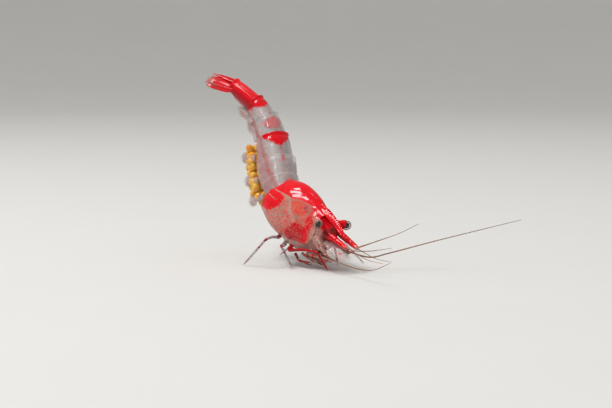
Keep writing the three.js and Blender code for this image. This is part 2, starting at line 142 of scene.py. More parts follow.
# ---- Curves and profiles ----
def along(stations):
    """A smooth curve through (place, value) pairs, flat beyond its ends."""
    last = len(stations) - 1

    def slope(i):
        a, b = stations[max(i - 1, 0)], stations[min(i + 1, last)]
        return (b[1] - a[1]) / (b[0] - a[0])

    def value(place):
        if place <= stations[0][0]:
            return stations[0][1]
        if place >= stations[last][0]:
            return stations[last][1]
        i = next(k for k in range(last + 1) if stations[k][0] > place) - 1
        (x0, v0), (x1, v1) = stations[i], stations[i + 1]
        span = x1 - x0
        t = (place - x0) / span
        rise = v0 * (1 - t) ** 2 * (1 + 2 * t) + v1 * t**2 * (3 - 2 * t)
        return rise + span * t * (1 - t) * (slope(i) * (1 - t) - slope(i + 1) * t)

    return value


def lerp(a, b, t):
    return a + (b - a) * t


def clamp(x):
    return min(max(x, 0), 1)


def step(low, high, x):
    """0 below low, 1 above high, smooth between."""
    t = clamp((x - low) / (high - low))
    return t * t * (3 - 2 * t)


def bump(x, centre, width):
    return math.exp(-(((x - centre) / width) ** 2))


def wave(angle):
    """0 to 1 and back, smoothly."""
    return 0.5 + 0.5 * math.sin(angle)


def section(angle, half_width, above, below, fullness):
    """A section's side and height at an angle from the back's midline. Fullness 2 is an ellipse."""
    side, rise = (
        math.copysign(abs(part) ** (2 / fullness), part) for part in (math.sin(angle), math.cos(angle))
    )
    return half_width * side, rise * (above if rise > 0 else below)


def measured(run):
    """A profile's points and how far round it each of them is, from 0 to 1."""
    run = np.array(run)
    lengths = np.concatenate([[0], np.cumsum(np.hypot(*np.diff(run, axis=0).T))])
    return run, lengths / lengths[-1]


def at_share(profile, t):
    """Side and height where a two-sided profile is crossed at t, 0.5 being the back's midline."""
    run, share = profile
    far = abs(2 * t - 1)
    side, rise = (np.interp(far, share, run[:, k]) for k in (0, 1))
    return side, rise, far


def smooth_path(points, count):
    """Evenly spaced points on a smooth curve through the given ones."""
    steps = 24  # from each given point to the next
    points = [Vector(p) for p in points]
    ends = [2 * points[0] - points[1], *points, 2 * points[-1] - points[-2]]
    fine = []
    for a, b, c, d in zip(ends, ends[1:], ends[2:], ends[3:]):
        for k in range(steps):
            t = k / steps
            curve = 2 * b + (c - a) * t + (2 * a - 5 * b + 4 * c - d) * t**2
            fine.append(0.5 * (curve + (3 * b - 3 * c + d - a) * t**3))
    fine.append(points[-1])
    lengths = np.cumsum([0] + [(q - p).length for p, q in zip(fine, fine[1:])])
    path = []
    for want in np.linspace(0, lengths[-1], count):
        k = min(int(np.searchsorted(lengths, want, side="right")) - 1, len(fine) - 2)
        t = (want - lengths[k]) / max(lengths[k + 1] - lengths[k], 1e-9)
        path.append(fine[k].lerp(fine[k + 1], t))
    return path


# ---- Making, shaping and placing pieces ----
def deselect():
    if bpy.context.object and bpy.context.object.mode != "OBJECT":
        bpy.ops.object.mode_set(mode="OBJECT")
    bpy.ops.object.select_all(action="DESELECT")


def pick(*pieces):
    deselect()
    for piece in pieces:
        piece.select_set(True)
    bpy.context.view_layer.objects.active = pieces[0]


@contextmanager
def editing(piece):
    """Edit mode with the whole piece selected, left again at the end."""
    pick(piece)
    bpy.ops.object.mode_set(mode="EDIT")
    bpy.ops.mesh.select_all(action="SELECT")
    yield
    bpy.ops.object.mode_set(mode="OBJECT")


def relax(piece, repeat):
    """Evens out a piece's points."""
    with editing(piece):
        bpy.ops.mesh.vertices_smooth(factor=0.5, repeat=repeat)


def positions(piece):
    places = np.empty(len(piece.data.vertices) * 3)
    piece.data.vertices.foreach_get("co", places)
    return places.reshape(-1, 3)


def reshape(piece, places):
    piece.data.vertices.foreach_set("co", np.array(places, dtype=np.float32).ravel())


def nearest(path, piece):
    """For each point of a piece, which of the path's points is the nearest."""
    run = np.array([list(p) for p in path])
    return np.array([int(np.argmin(((run - v) ** 2).sum(axis=1))) for v in positions(piece)])


def paint(piece, **layers):
    """Writes each layer, one value a point or one for all, as an attribute that the materials read."""
    for name, values in layers.items():
        layer = piece.data.attributes.get(name) or piece.data.attributes.new(name, "FLOAT", "POINT")
        spread = np.zeros(len(piece.data.vertices), dtype=np.float32) + np.asarray(values, dtype=np.float32)
        layer.data.foreach_set("value", spread)


def sheet(name, lengthwise, across, place, close=True, layers=None):
    """A grid whose points are moved to place(s, t), s and t from 0 to 1, with its seam closed."""
    deselect()
    bpy.ops.mesh.primitive_grid_add(x_subdivisions=lengthwise, y_subdivisions=across, size=1)
    piece = bpy.context.object
    piece.name = name
    flat = positions(piece) + 0.5
    shaped = [place(s, t) for s, t, _ in flat]
    reshape(piece, shaped)
    if layers:
        values = [layers(s, t, p) for (s, t, _), p in zip(flat, shaped)]
        paint(piece, **{key: [v[key] for v in values] for key in values[0]})
    if close:
        with editing(piece):
            bpy.ops.mesh.remove_doubles(threshold=1e-4)
            bpy.ops.mesh.normals_make_consistent(inside=False)
    return piece


def turn_ring(way, new_way, pivot):
    """Turns the selected ring from facing one way to facing another."""
    angles = way.rotation_difference(new_way).to_euler("XYZ")
    for axis, angle in zip("XYZ", angles):
        if abs(angle) > 1e-6:
            bpy.ops.transform.rotate(
                value=-angle, orient_axis=axis, orient_type="GLOBAL", center_override=pivot
            )


def extend(move, size, pivot):
    """Extrudes the selected ring by a move, and resizes it about a place."""
    bpy.ops.mesh.extrude_region_move(TRANSFORM_OT_translate={"value": move, "orient_type": "GLOBAL"})
    bpy.ops.transform.resize(value=(size, size, size), center_override=pivot)


def draw_out(name, path, radii, sides=12, point_end=True):
    """A limb: a ring extruded from point to point of the path, resized and turned as it goes."""
    path = [Vector(p) for p in path]
    last = len(path) - 1
    ways = [(path[min(i + 1, last)] - path[max(i - 1, 0)]).normalized() for i in range(last + 1)]
    deselect()
    bpy.ops.mesh.primitive_circle_add(vertices=sides, radius=radii[0], fill_type="NGON", location=path[0])
    piece = bpy.context.object
    bpy.ops.object.transform_apply(location=True, rotation=True, scale=True)
    piece.name = name
    with editing(piece):
        turn_ring(Vector((0, 0, 1)), ways[0], path[0])
        for i in range(1, last + 1):
            extend(path[i] - path[i - 1], radii[i] / radii[i - 1], path[i])
            turn_ring(ways[i - 1], ways[i], path[i])
        if point_end:
            reach = ways[-1] * radii[-1]
            extend(reach * 0.6, 0.7, path[-1] + reach * 0.6)
            extend(reach * 0.35, 0.3, path[-1] + reach)
        bpy.ops.mesh.select_all(action="SELECT")
        bpy.ops.mesh.normals_make_consistent(inside=False)
    paint(piece, along=nearest(path, piece) / last)
    return piece


def spikes(name, roots, sides=3):
    """Hairs or spines as one mesh. Each is (root, way, length, radius, droop)."""
    points, faces, share = [], [], []
    for root, way, length, radius, droop in roots:
        root, way, droop = Vector(root), Vector(way).normalized(), Vector(droop)
        u = way.orthogonal().normalized()
        v = way.cross(u)
        start = len(points)
        for t, size in ((0, 1), (0.5, 0.75)):
            centre = root + way * length * t + droop * length * t * t
            for n in range(sides):
                angle = TURN * n / sides
                points.append(centre + radius * size * (u * math.cos(angle) + v * math.sin(angle)))
                share.append(t)
        points.append(root + way * length + droop * length)
        share.append(1)
        for n in range(sides):
            m = (n + 1) % sides
            faces.append((start + n, start + m, start + sides + m, start + sides + n))
            faces.append((start + sides + n, start + sides + m, start + 2 * sides))
        faces.append(tuple(start + n for n in reversed(range(sides))))
    mesh = bpy.data.meshes.new(name)
    mesh.from_pydata([tuple(p) for p in points], [], faces)
    piece = bpy.data.objects.new(name, mesh)
    bpy.context.scene.collection.objects.link(piece)
    paint(piece, along=share)
    return piece


def modify(piece, kind, **settings):
    """Adds one modifier with these settings and applies it."""
    pick(piece)
    bpy.ops.object.modifier_add(type=kind)
    modifier = piece.modifiers[-1]
    for key, value in settings.items():
        setattr(modifier, key, value)
    bpy.ops.object.modifier_apply(modifier=modifier.name)


def subdivide(piece):
    modify(piece, "SUBSURF", levels=1, render_levels=1)
    return piece


def finish_plate(piece, inside, thickness, repeat):
    """Evens out an open plate, turns its faces away from a place inside it and gives it its wall."""
    relax(piece, repeat)
    face = piece.data.polygons[len(piece.data.polygons) // 2]
    if face.normal.dot(face.center - Vector(inside)) < 0:
        with editing(piece):
            bpy.ops.mesh.flip_normals()
    modify(piece, "SOLIDIFY", thickness=thickness, offset=-1, use_even_offset=True)


def join(name, pieces):
    pick(*pieces)
    if len(pieces) > 1:
        bpy.ops.object.join()
    piece = bpy.context.object
    piece.name = name
    return piece


def settle_shape(piece, *matrices):
    """Moves a piece's mesh by each matrix in turn and leaves the object at the origin."""
    pick(piece)
    for matrix in matrices:
        piece.matrix_world = matrix
        bpy.ops.object.transform_apply(location=True, rotation=True, scale=True)
    return piece


def settle(piece, place, material, slot, *nodes):
    """Puts a finished piece in its place in metres, with its finish, over the nodes it stands for."""
    settle_shape(piece, place)
    bpy.ops.object.shade_smooth()
    piece.data.materials.clear()
    piece.data.materials.append(bpy.data.materials[material])
    piece.data.name = piece.name
    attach(piece, "root")
    if nodes:
        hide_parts(*nodes)
    return piece




# ---- Shader nodes ----
PER_MM = 1000.0  # texture scales are counts to the metre


class Nodes:
    """A node tree being filled, and the place that its patterns read."""

    def __init__(self, tree, place=None):
        self.tree = tree
        self.place = self.add("TexCoord").outputs["Object"] if place is None else place

    def feed(self, socket, value):
        """Gives a socket a value or the output that feeds it."""
        if isinstance(value, bpy.types.NodeSocket):
            self.tree.links.new(value, socket)
        else:
            socket.default_value = value

    def add(self, kind, inputs=None, **settings):
        node = self.tree.nodes.new("ShaderNode" + kind)
        count = len(self.tree.nodes)
        node.location = (220 * (count // 5), -180 * (count % 5))
        for key, value in settings.items():
            setattr(node, key, value)
        for key, value in (inputs or {}).items():
            self.feed(node.inputs[key], value)
        return node

    def calculate(self, operation, *values, **settings):
        return self.add("Math", dict(enumerate(values)), operation=operation, **settings).outputs[0]

    def times(self, a, b):
        return self.calculate("MULTIPLY", a, b)

    def greater(self, a, b):
        return self.calculate("MAXIMUM", a, b)

    def ramp(self, value, low, high):
        """0 where the value is under low and 1 over high."""
        inputs = {"Value": value, "From Min": low, "From Max": high}
        return self.add("MapRange", inputs, interpolation_type="SMOOTHSTEP").outputs["Result"]

    def noise(self, scale, detail=2.0, roughness=0.5, output="Fac"):
        inputs = {"Vector": self.place, "Scale": scale, "Detail": detail, "Roughness": roughness}
        return self.add("TexNoise", inputs).outputs[output]

    def cell_edges(self, scale):
        inputs = {"Vector": self.place, "Scale": scale}
        return self.add("TexVoronoi", inputs, feature="DISTANCE_TO_EDGE").outputs["Distance"]

    def layer(self, name):
        return self.add("Attribute", attribute_name=name).outputs["Fac"]

    def bump(self, height, strength, depth):
        inputs = {"Height": height, "Strength": strength, "Distance": depth * MM}
        return self.add("Bump", inputs).outputs["Normal"]

    def blend(self, factor, first, second):
        """From the first colour to the second, as far as a value or a painted layer says."""
        factor = self.layer(factor) if isinstance(factor, str) else factor
        return self.add("Mix", {0: factor, 6: first, 7: second}, data_type="RGBA").outputs[2]

    def mottled(self, scale, edges, first, second, **settings):
        """Two colours in clouds; edges are the noise levels between which one gives way."""
        return self.blend(self.ramp(self.noise(scale, **settings), *edges), first, second)

    def group(self, maker, **inputs):
        """A shared effect, made the first time that it is asked for."""
        made = bpy.data.node_groups.get(maker.__name__.replace("_", " ").title()) or maker()
        return self.add("Group", {"Vector": self.place, **inputs}, node_tree=made).outputs

    def dots(self, density, spacing, size):
        return self.group(pigment_dots, Density=density, Spacing=spacing, Size=size)["Mask"]

    def patch(self, layer, grain, broken=0.8):
        return self.group(ragged_edge, Level=self.layer(layer), Grain=grain, Break=broken)["Mask"]


def new_group(name, inputs, outputs):
    """A node group that reads a Vector and these numbers: its nodes, its inputs, its outputs."""
    tree = bpy.data.node_groups.new(name, "ShaderNodeTree")
    tree.interface.new_socket("Vector", in_out="INPUT", socket_type="NodeSocketVector")
    for label, default in inputs.items():
        socket = tree.interface.new_socket(label, in_out="INPUT", socket_type="NodeSocketFloat")
        socket.default_value = default
    for label in outputs:
        tree.interface.new_socket(label, in_out="OUTPUT", socket_type="NodeSocketFloat")
    start, end = tree.nodes.new("NodeGroupInput"), tree.nodes.new("NodeGroupOutput")
    start.location, end.location = (-400, 0), (1800, 0)
    return Nodes(tree, start.outputs["Vector"]), start.outputs, end.inputs


def pigment_dots():
    """Round pigment cells of many sizes: Spacing in millimetres, Density and Size from 0 to 1."""
    defaults = {"Spacing": 0.2, "Density": 0.5, "Size": 0.5}
    nodes, given, out = new_group("Pigment Dots", defaults, ["Mask"])
    scale = nodes.calculate("DIVIDE", PER_MM, given["Spacing"])
    warp = nodes.noise(3000.0, output="Color")
    centred = nodes.add("VectorMath", {0: warp, 1: (0.5, 0.5, 0.5)}, operation="SUBTRACT")
    small = nodes.add("VectorMath", {0: centred.outputs[0], "Scale": 0.12 * MM}, operation="SCALE")
    moved = nodes.add("VectorMath", {0: nodes.place, 1: small.outputs[0]}, operation="ADD")
    cells = nodes.add("TexVoronoi", {"Vector": moved.outputs[0], "Scale": scale, "Randomness": 1.0})
    chance = nodes.add("SeparateColor", {"Color": cells.outputs["Color"]})
    radius = nodes.calculate("MULTIPLY_ADD", chance.outputs["Green"], 0.6, 0.4)
    inside = nodes.calculate("SUBTRACT", nodes.times(radius, given["Size"]), cells.outputs["Distance"])
    here = nodes.calculate("LESS_THAN", chance.outputs["Red"], given["Density"])
    nodes.feed(out["Mask"], nodes.times(nodes.ramp(inside, -0.06, 0.1), here))
    return nodes.tree


def ragged_edge():
    """Turns a soft level into a patch with a broken edge: Grain in millimetres."""
    nodes, given, out = new_group("Ragged Edge", {"Level": 0.0, "Grain": 0.3, "Break": 0.5}, ["Mask"])
    scale = nodes.calculate("DIVIDE", PER_MM, given["Grain"])
    centred = nodes.calculate("SUBTRACT", nodes.noise(scale, 4.0, 0.65), 0.5)
    level = nodes.calculate("ADD", given["Level"], nodes.times(centred, given["Break"]))
    nodes.feed(out["Mask"], nodes.ramp(level, 0.38, 0.62))
    return nodes.tree


def shell_grain():
    """Height and roughness of wet shell: fine pits over soft swells."""
    nodes, given, out = new_group("Shell Grain", {"Smoothness": 0.2}, ["Height", "Roughness"])
    pits = nodes.add("TexVoronoi", {"Vector": nodes.place, "Scale": 9000.0}).outputs["Distance"]
    pit = nodes.ramp(pits, 0.0, 0.35)
    nodes.feed(out["Height"], nodes.calculate("MULTIPLY_ADD", pit, 0.12, nodes.noise(900.0, 3.0)))
    centred = nodes.calculate("SUBTRACT", nodes.noise(2500.0), 0.5)
    roughness = nodes.calculate("ADD", given["Smoothness"], nodes.times(centred, 0.25), use_clamp=True)
    nodes.feed(out["Roughness"], roughness)
    return nodes.tree


def colour(values, factor=1.0):
    """A colour with its alpha, made darker or lighter by a factor."""
    return (*(min(1, c * factor) for c in values[:3]), 1.0)


class Finish(Nodes):
    """A new material being mixed, with its shader."""

    def __init__(self, name):
        material = bpy.data.materials.new(name)
        material.use_nodes = True
        tree = material.node_tree
        tree.nodes.clear()
        output = tree.nodes.new("ShaderNodeOutputMaterial")
        output.location = (2600, 0)
        self.shader = tree.nodes.new("ShaderNodeBsdfPrincipled")
        self.shader.location = (2300, 0)
        tree.links.new(self.shader.outputs[0], output.inputs["Surface"])
        super().__init__(tree)

    def set(self, **inputs):
        """Gives the shader its inputs; an underline stands for the blank in a socket's name."""
        for key, value in inputs.items():
            self.feed(self.shader.inputs[key.replace("_", " ")], value)

    def grain(self, smoothness, strength, depth, extra=None):
        """Wet shell's roughness and fine relief, to a depth in millimetres."""
        texture = self.group(shell_grain, Smoothness=smoothness)
        height = texture["Height"]
        if extra is not None:
            height = self.calculate("ADD", height, extra)
        self.set(Normal=self.bump(height, strength, depth), Roughness=texture["Roughness"])

    def flesh_light(self, weight, depth, coat):
        """Light that sinks into the piece, to a depth in millimetres, and a wet coat."""
        self.set(
            Subsurface_Weight=weight, Subsurface_Radius=(1.0, 0.35, 0.25), Subsurface_Scale=depth * MM,
            Coat_Weight=coat, Coat_Roughness=0.04, Coat_IOR=1.4, IOR=1.38, Specular_IOR_Level=0.2,
        )


# ---- Settings that a user would change ----
def tint(name, description, default):
    return FloatVectorProperty(
        name=name, description=description, subtype="COLOR", size=3, min=0, max=1, default=default
    )


def size(name, description, millimetres):
    return FloatProperty(
        name=name, description=description, default=millimetres * MM, min=0, unit="LENGTH", precision=5
    )


class ShrimpColours(PropertyGroup):
    """The animal's colours."""

    red: tint("Red", "Pigment of the back, the rostrum and the tail", (0.80, 0.003, 0.012))
    # Deep red is also where the painted shade goes: the shade layers and the far-side legs darken towards it.
    deep_red: tint("Deep red", "Pigment in the shade and on the legs", (0.26, 0.006, 0.010))
    orange: tint("Orange", "Patch behind the eyes", (0.68, 0.10, 0.06))
    pink: tint("Pink", "Faint pigment of the abdomen", (0.55, 0.07, 0.075))
    flank: tint("Flank", "Shell of the flank between its dots", (0.47, 0.19, 0.145))
    pale: tint("Pale", "Seams and cheeks", (0.50, 0.29, 0.235))
    milky: tint("Milky", "Clear shell of the abdomen", (0.58, 0.54, 0.53))
    muscle: tint("Muscle", "Flesh seen through the abdomen", (0.50, 0.29, 0.25))
    # Violet also dulls the tail fan's tip as painted shade.
    violet: tint("Violet", "Dark spot over the liver", (0.08, 0.045, 0.12))
    egg: tint("Egg", "Yolk of the eggs", (0.80, 0.40, 0.03))
    eye: tint("Eye", "Core of the eyes", (0.006, 0.004, 0.005))
    eye_rim: tint("Eye rim", "Clear outer layer of the eyes", (0.30, 0.215, 0.175))
    feeler: tint("Feeler", "Feelers", (0.34, 0.19, 0.12))


class ShrimpSizes(PropertyGroup):
    """Sizes of the animal's finer parts."""

    shell: size("Shell", "Thickness of the shell plates", 0.06)
    groove: size("Groove", "Depth of the grooves of the carapace", 0.05)
    tooth: size("Tooth", "Height of the teeth of the rostrum", 0.11)
    teeth: IntProperty(name="Teeth", description="Teeth on top of the rostrum", default=14, min=0)
    hair: size("Hair", "Thickness of the fringing hairs", 0.022)
    leg: size("Leg", "Radius of a walking leg's first length", 0.145)


class StageSettings(PropertyGroup):
    """Floor, light and camera."""

    floor: tint("Floor", "Colour of the floor and the backdrop", (0.72, 0.71, 0.69))
    key: FloatProperty(name="Key light", description="Strip lamps over the right flank", default=0.98, unit="POWER")
    fill: FloatProperty(name="Fill light", description="Softbox above", default=0.3, unit="POWER")
    sky: FloatProperty(name="Sky", description="Strength of the even light all round", default=0.38, min=0)
    lens: FloatProperty(name="Lens", description="Focal length", default=100, min=1, unit="CAMERA")


# ---- Materials ----
def shell_material(name, colours, clear=0.0):
    """Shell with its markings, read from the layers painted on the piece. Clear is how much of the
    unmarked shell light passes through."""
    mix = Finish(name)
    red, patch = mix.patch("red", 0.35), mix.patch("orange", 0.45)
    crowd = mix.layer("dots")
    fine, wide = mix.dots(crowd, 0.13, 0.64), mix.dots(mix.times(crowd, 0.75), 0.21, 0.55)
    dotted = mix.greater(fine, mix.times(wide, 0.85))
    specks = mix.times(mix.dots(mix.layer("specks"), 0.12, 0.54), 0.8)
    base, lightest = (colours.milky, colour(colours.milky, 1.2)) if clear else (colours.flank, colour(colours.pale))
    ground = mix.mottled(1800.0, (0.3, 0.7), colour(base, 0.8), colour(base, 1.15), detail=4.0, roughness=0.6)
    for factor, tone in (
        ("pale", lightest),
        (mix.times(patch, 0.75), colour(colours.pink if clear else colours.orange)),
        ("violet", colour(colours.violet)),
        ("flush", colour(colours.pink)),
    ):
        ground = mix.blend(factor, ground, tone)
    red_tone = colour(colours.red)
    rich = mix.mottled(1300.0, (0.35, 0.75), red_tone, colour(colours.red, 0.78), detail=5.0, roughness=0.6)
    # The shade layer darkens the red towards deep red: on undersides, under the rostrum and towards the tail fan's tip
    # it is painted shade, on the carapace's oval the deeper crimson.
    rich = mix.blend("shade", rich, colour(colours.deep_red))
    rich = mix.blend(specks, rich, ground)
    ground = mix.blend(mix.times(dotted, 0.85), ground, red_tone)
    mix.set(Base_Color=mix.blend(red, ground, rich))
    if clear:
        marked = mix.greater(mix.greater(red, dotted), patch)
        open_shell = mix.calculate("SUBTRACT", 1.0, mix.times(mix.layer("clear"), clear))
        mix.set(Alpha=mix.greater(open_shell, mix.times(marked, 0.9)))
    mix.flesh_light(0.1, 0.25, 0.55)
    mix.grain(0.14, 0.4, 0.035)


def flesh_material(name, tone, colours, fibre=0.0):
    """Moist flesh, with its fibres running round the body where fibre is over 0."""
    mix = Finish(name)
    ground = mix.mottled(1500.0, (0.3, 0.7), colour(tone, 0.75), colour(tone, 1.2), detail=5.0, roughness=0.6)
    # The shade layer is mostly painted shade, set in flesh_markings; only the gut's line is the flesh's own dark.
    for layer, layer_tone in (("pale", colours.milky), ("red", colours.red), ("shade", colours.deep_red)):
        ground = mix.blend(layer, ground, colour(layer_tone))
    specks = mix.times(mix.dots(mix.layer("dots"), 0.2, 0.45), 0.8)
    mix.set(Base_Color=mix.blend(specks, ground, colour(colours.red)))
    mix.flesh_light(0.3, 0.4, 0.35)
    mix.grain(0.28, 0.4, 0.04, mix.times(mix.layer("fibre"), fibre) if fibre else None)


def jointed_material(name, colours, tone, band_tone):
    """Legs: tone along the lengths and band_tone near the joints, with fine dots over both."""
    mix = Finish(name)
    main = mix.mottled(3500.0, (0.35, 0.7), colour(tone), colour(tone, 0.6), detail=4.0)
    ground = mix.blend(mix.patch("band", 0.15, 0.5), main, colour(band_tone))
    specks = mix.times(mix.dots(0.45, 0.09, 0.5), 0.6)
    mix.set(Base_Color=mix.blend(specks, ground, colour(colours.red)))
    mix.flesh_light(0.2, 0.25, 0.6)
    mix.grain(0.22, 0.3, 0.015)


def feeler_material(name, colours):
    """Feelers: rings along their length, redder at the root."""
    mix = Finish(name)
    share = mix.layer("along")
    ringed = mix.ramp(mix.calculate("SINE", mix.times(share, 420.0)), -0.6, 0.6)
    tone = mix.blend(ringed, colour(colours.feeler, 0.55), colour(colours.feeler))
    mix.set(Base_Color=mix.blend(mix.ramp(share, 0.1, 0.0), tone, colour(colours.red)))
    mix.flesh_light(0.1, 0.1, 0.4)
    mix.grain(0.3, 0.2, 0.01, mix.times(ringed, 0.3))


def hair_material(name, colours):
    mix = Finish(name)
    share = mix.layer("along")
    tone = mix.blend(share, colour(colours.pale, 0.8), colour(colours.milky))
    mix.set(Base_Color=tone, Alpha=mix.calculate("SUBTRACT", 0.9, mix.times(share, 0.45)), Roughness=0.4)


def eye_core_material(name, colours):
    mix = Finish(name)
    edge = mix.ramp(mix.cell_edges(22000.0), 0.0, 0.12)
    tone = mix.blend(edge, colour(colours.eye, 3), colour(colours.eye))
    mix.set(Base_Color=tone, Normal=mix.bump(edge, 0.3, 0.004), Roughness=0.35)


def eye_clear_material(name, colours):
    """The clear layer: looked at straight on, the dark core shows through it."""
    mix = Finish(name)
    tone = mix.blend(mix.noise(5000.0, 3.0), colour(colours.eye_rim, 0.7), colour(colours.eye_rim, 1.4))
    facing = mix.add("LayerWeight", {"Blend": 0.5}).outputs["Facing"]
    mix.set(
        Base_Color=tone, Alpha=mix.calculate("MULTIPLY_ADD", mix.ramp(facing, 0.16, 0.42), 0.86, 0.06),
        Normal=mix.bump(mix.cell_edges(26000.0), 0.25, 0.004),
        Roughness=0.2, Coat_Weight=0.8, Coat_Roughness=0.04,
    )


def egg_material(name, colours):
    mix = Finish(name)
    red, green, blue = colours.egg
    dark, light = (red * 0.85, green * 0.62, blue * 0.6), (min(1, red * 1.08), green * 1.3, blue * 2.2)
    tone = mix.mottled(1700.0, (0.3, 0.7), colour(dark), colour(light), detail=3.0)
    tone = mix.blend(mix.times(mix.layer("each"), 0.35), tone, colour((0.78, 0.5, 0.16)))
    mix.set(Base_Color=tone)
    mix.flesh_light(0.5, 0.5, 0.7)
    mix.grain(0.16, 0.15, 0.02)


SHELL_LAYERS = ("red", "dots", "pale", "orange", "violet", "specks", "flush", "shade", "clear")


def unmarked(**layers):
    """The layers of a shell piece, all at nought but the ones given."""
    return {**dict.fromkeys(SHELL_LAYERS, 0.0), **layers}


class SHRIMP_OT_finishes(Operator):
    """Mixes every finish of the animal"""

    bl_idname = "shrimp.finishes"
    bl_label = "Finishes"

    def execute(self, context):
        c = context.scene.shrimp_colours
        shell_material("marked shell", c)
        shell_material("clear shell", c, clear=0.6)
        shell_material("clear fin", c, clear=0.72)
        flesh_material("cheek flesh", colour(c.pale, 0.72), c)
        flesh_material("muscle flesh", c.muscle, c, fibre=0.5)
        jointed_material("red leg", c, colour(c.red, 0.62), colour(c.red, 0.4))
        # A darker copy of the red legs' finish for limbs under the body and on the far side: painted shade.
        jointed_material("dark leg", c, c.deep_red, colour(c.pale, 0.5))
        jointed_material("pale leg", c, c.pale, c.red)
        jointed_material("banded leg", c, colour(c.milky, 0.85), c.deep_red)
        feeler_material("ringed feeler", c)
        hair_material("fringing hair", c)
        eye_core_material("eye core", c)
        eye_clear_material("clear eye", c)
        egg_material("golden egg", c)
        return {"FINISHED"}


# ---- Carapace and rostrum ----
SEAM = (
    (0.4, -1.02), (1.32, -0.71), (2.36, -0.48), (2.85, -0.42), (3.1, -0.58), (3.4, -0.86), (3.9, -1.22), (4.5, -1.62)
)
FRONT_GROOVE = ((4.9, 1.0), (5.3, 0.2), (5.9, -0.4))
# A thin pale line over the lobe behind the seam: a painted highlight that stands in for a curved reflection.
HIGHLIGHT_LINE = ((0.0, -1.72), (1.5, -1.42))
BAND_LOW = (
    (0, -1.1), (0.4, -0.98), (1.3, -0.66), (2.4, -0.44), (3.0, -0.26), (3.9, 0.12), (4.9, 0.34), (5.6, 0.28),
    (6.3, -0.1), (7, -0.3),
)
GROOVE_WIDTH, FRONT_GROOVE_WIDTH = 0.13, 0.16
CARAPACE_REACH = math.radians(152)  # how far round each flank the shell goes from the back


def distance_to(path, x, z):
    """How far a place is from a line through the path's points, and how far along it."""
    best, where = 1e9, 0.0
    for k, ((x0, z0), (x1, z1)) in enumerate(zip(path, path[1:])):
        dx, dz = x1 - x0, z1 - z0
        t = clamp(((x - x0) * dx + (z - z0) * dz) / (dx * dx + dz * dz))
        far = math.hypot(x - x0 - t * dx, z - z0 - t * dz)
        if far < best:
            best, where = far, (k + t) / (len(path) - 1)
    return best, where


def spot(x, z, centre, width):
    """A round soft spot: 1 at its centre."""
    return bump(math.hypot(x - centre[0], z - centre[1]), 0, width)


def ellipse_level(x, z, centre, radii, tilt, edge):
    """0.5 on an ellipse's rim, rising inwards and falling outwards over edge, a share of its size."""
    a = math.radians(tilt)
    dx, dz = x - centre[0], z - centre[1]
    along_it, across_it = dx * math.cos(a) + dz * math.sin(a), dz * math.cos(a) - dx * math.sin(a)
    return clamp(0.5 + (1 - math.hypot(along_it / radii[0], across_it / radii[1])) / edge)


def carapace_profile(x):
    """Side and height of one section from the back's midline round to the shell's edge."""
    above = along(CARAPACE_TOP)(x) - WIDEST_AT
    below = WIDEST_AT - along(CARAPACE_BOTTOM)(x)
    half_width = along(CARAPACE_HALF_WIDTH)(x)
    run = []
    for angle in np.linspace(0, CARAPACE_REACH, 200):
        fullness = BACK_FULLNESS if angle < math.pi / 2 else FLANK_FULLNESS
        side, rise = section(angle, half_width, above, below, fullness)
        run.append((side, WIDEST_AT + rise))
    return measured(run)


def carapace_markings(x, z):
    """The layers at one place of the carapace, whichever side it is on."""
    behind_front = x - along(REAR_EDGE_FORWARD)(z)
    band = 0.5 + (z - along(BAND_LOW)(x)) / 0.5
    lobe = ellipse_level(x, z, (1.0, -1.55), (1.72, 1.3), 35, 0.5) - 0.22 * step(1.3, 2.2, x)
    strip = max(0.5 + (0.5 - behind_front) / 0.8, 0) * (z < -1.1) * step(-3.9, -2.6, z)
    seam, where = distance_to(SEAM, x, z)
    # Painted highlight: paler and less red along this line, standing in for a reflection on the lobe.
    painted_highlight = bump(distance_to(HIGHLIGHT_LINE, x, z)[0], 0, 0.1)
    oval = ellipse_level(x, z, (5.62, -2.66), (1.12, 1.26), 0, 0.5)
    front_edge = bump(math.hypot(x - 5.44, z + 2.62), 1.08, 0.24)
    front_edge *= step(5.5, 6.2, x) * step(-1.2, -1.9, z)
    column = ellipse_level(x, z, (6.1, -0.85), (0.45, 0.9), 20, 0.9)
    brow = step(6.5, 6.9, x) * step(-0.75, -0.3, z)
    cheek = step(0, 0.3, x - 6.3 + 0.62 * (z + 1.26)) * step(-0.8, -1.2, z)
    low_rear = bump(x, 1.0, 1.1) * step(-2.4, -3.0, z)
    near_oval = spot(x, z, (5.4, -2.8), 1.9)
    pale = 0.9 * bump(seam, 0, 0.035 + 0.26 * where**2.5) + 0.85 * cheek + 0.6 * painted_highlight
    pale += 0.35 * ellipse_level(x, z, (3.2, -2.6), (1.6, 0.9), 0, 0.9)
    red = max(band, lobe, strip, 0.86 * oval + 0.2 * front_edge, 0.5 * front_edge, 0.6 * column, brow)
    red -= 0.9 * bump(seam, 0, 0.045 + 0.12 * where) + 0.7 * painted_highlight
    crowd = 0.4 + 0.2 * step(3.0, 4.6, x) - 0.3 * low_rear + 0.5 * near_oval + 0.35 * column - 0.6 * cheek
    specks = 0.75 * min(1, near_oval + column) * (1 - 0.8 * front_edge)
    specks += 0.5 * step(-1.3, -2.2, z) * strip + 0.3 * step(1.3, 2.2, x) * lobe
    # Shade: the lower flank and the low part of the rear strip are darkened as painted shade; on the oval it is the
    # oval's own deeper crimson.
    shade = 0.5 * step(-3.2, -4.2, z) + 0.3 * strip * step(-2.2, -3.0, z) + 0.45 * oval * (1 - front_edge)
    return unmarked(
        red=clamp(red),
        dots=min(clamp(crowd - 0.35 * bump(seam, 0, 0.25)), 0.97),
        pale=min(pale, 1),
        orange=ellipse_level(x, z, (4.4, -0.45), (1.0, 0.6), 8, 0.9),
        violet=0.8 * spot(x, z, (5.0, -0.05), 0.17) + 0.6 * spot(x, z, (5.38, -0.22), 0.13),
        specks=min(specks, 1),
        shade=min(shade, 1),
    )


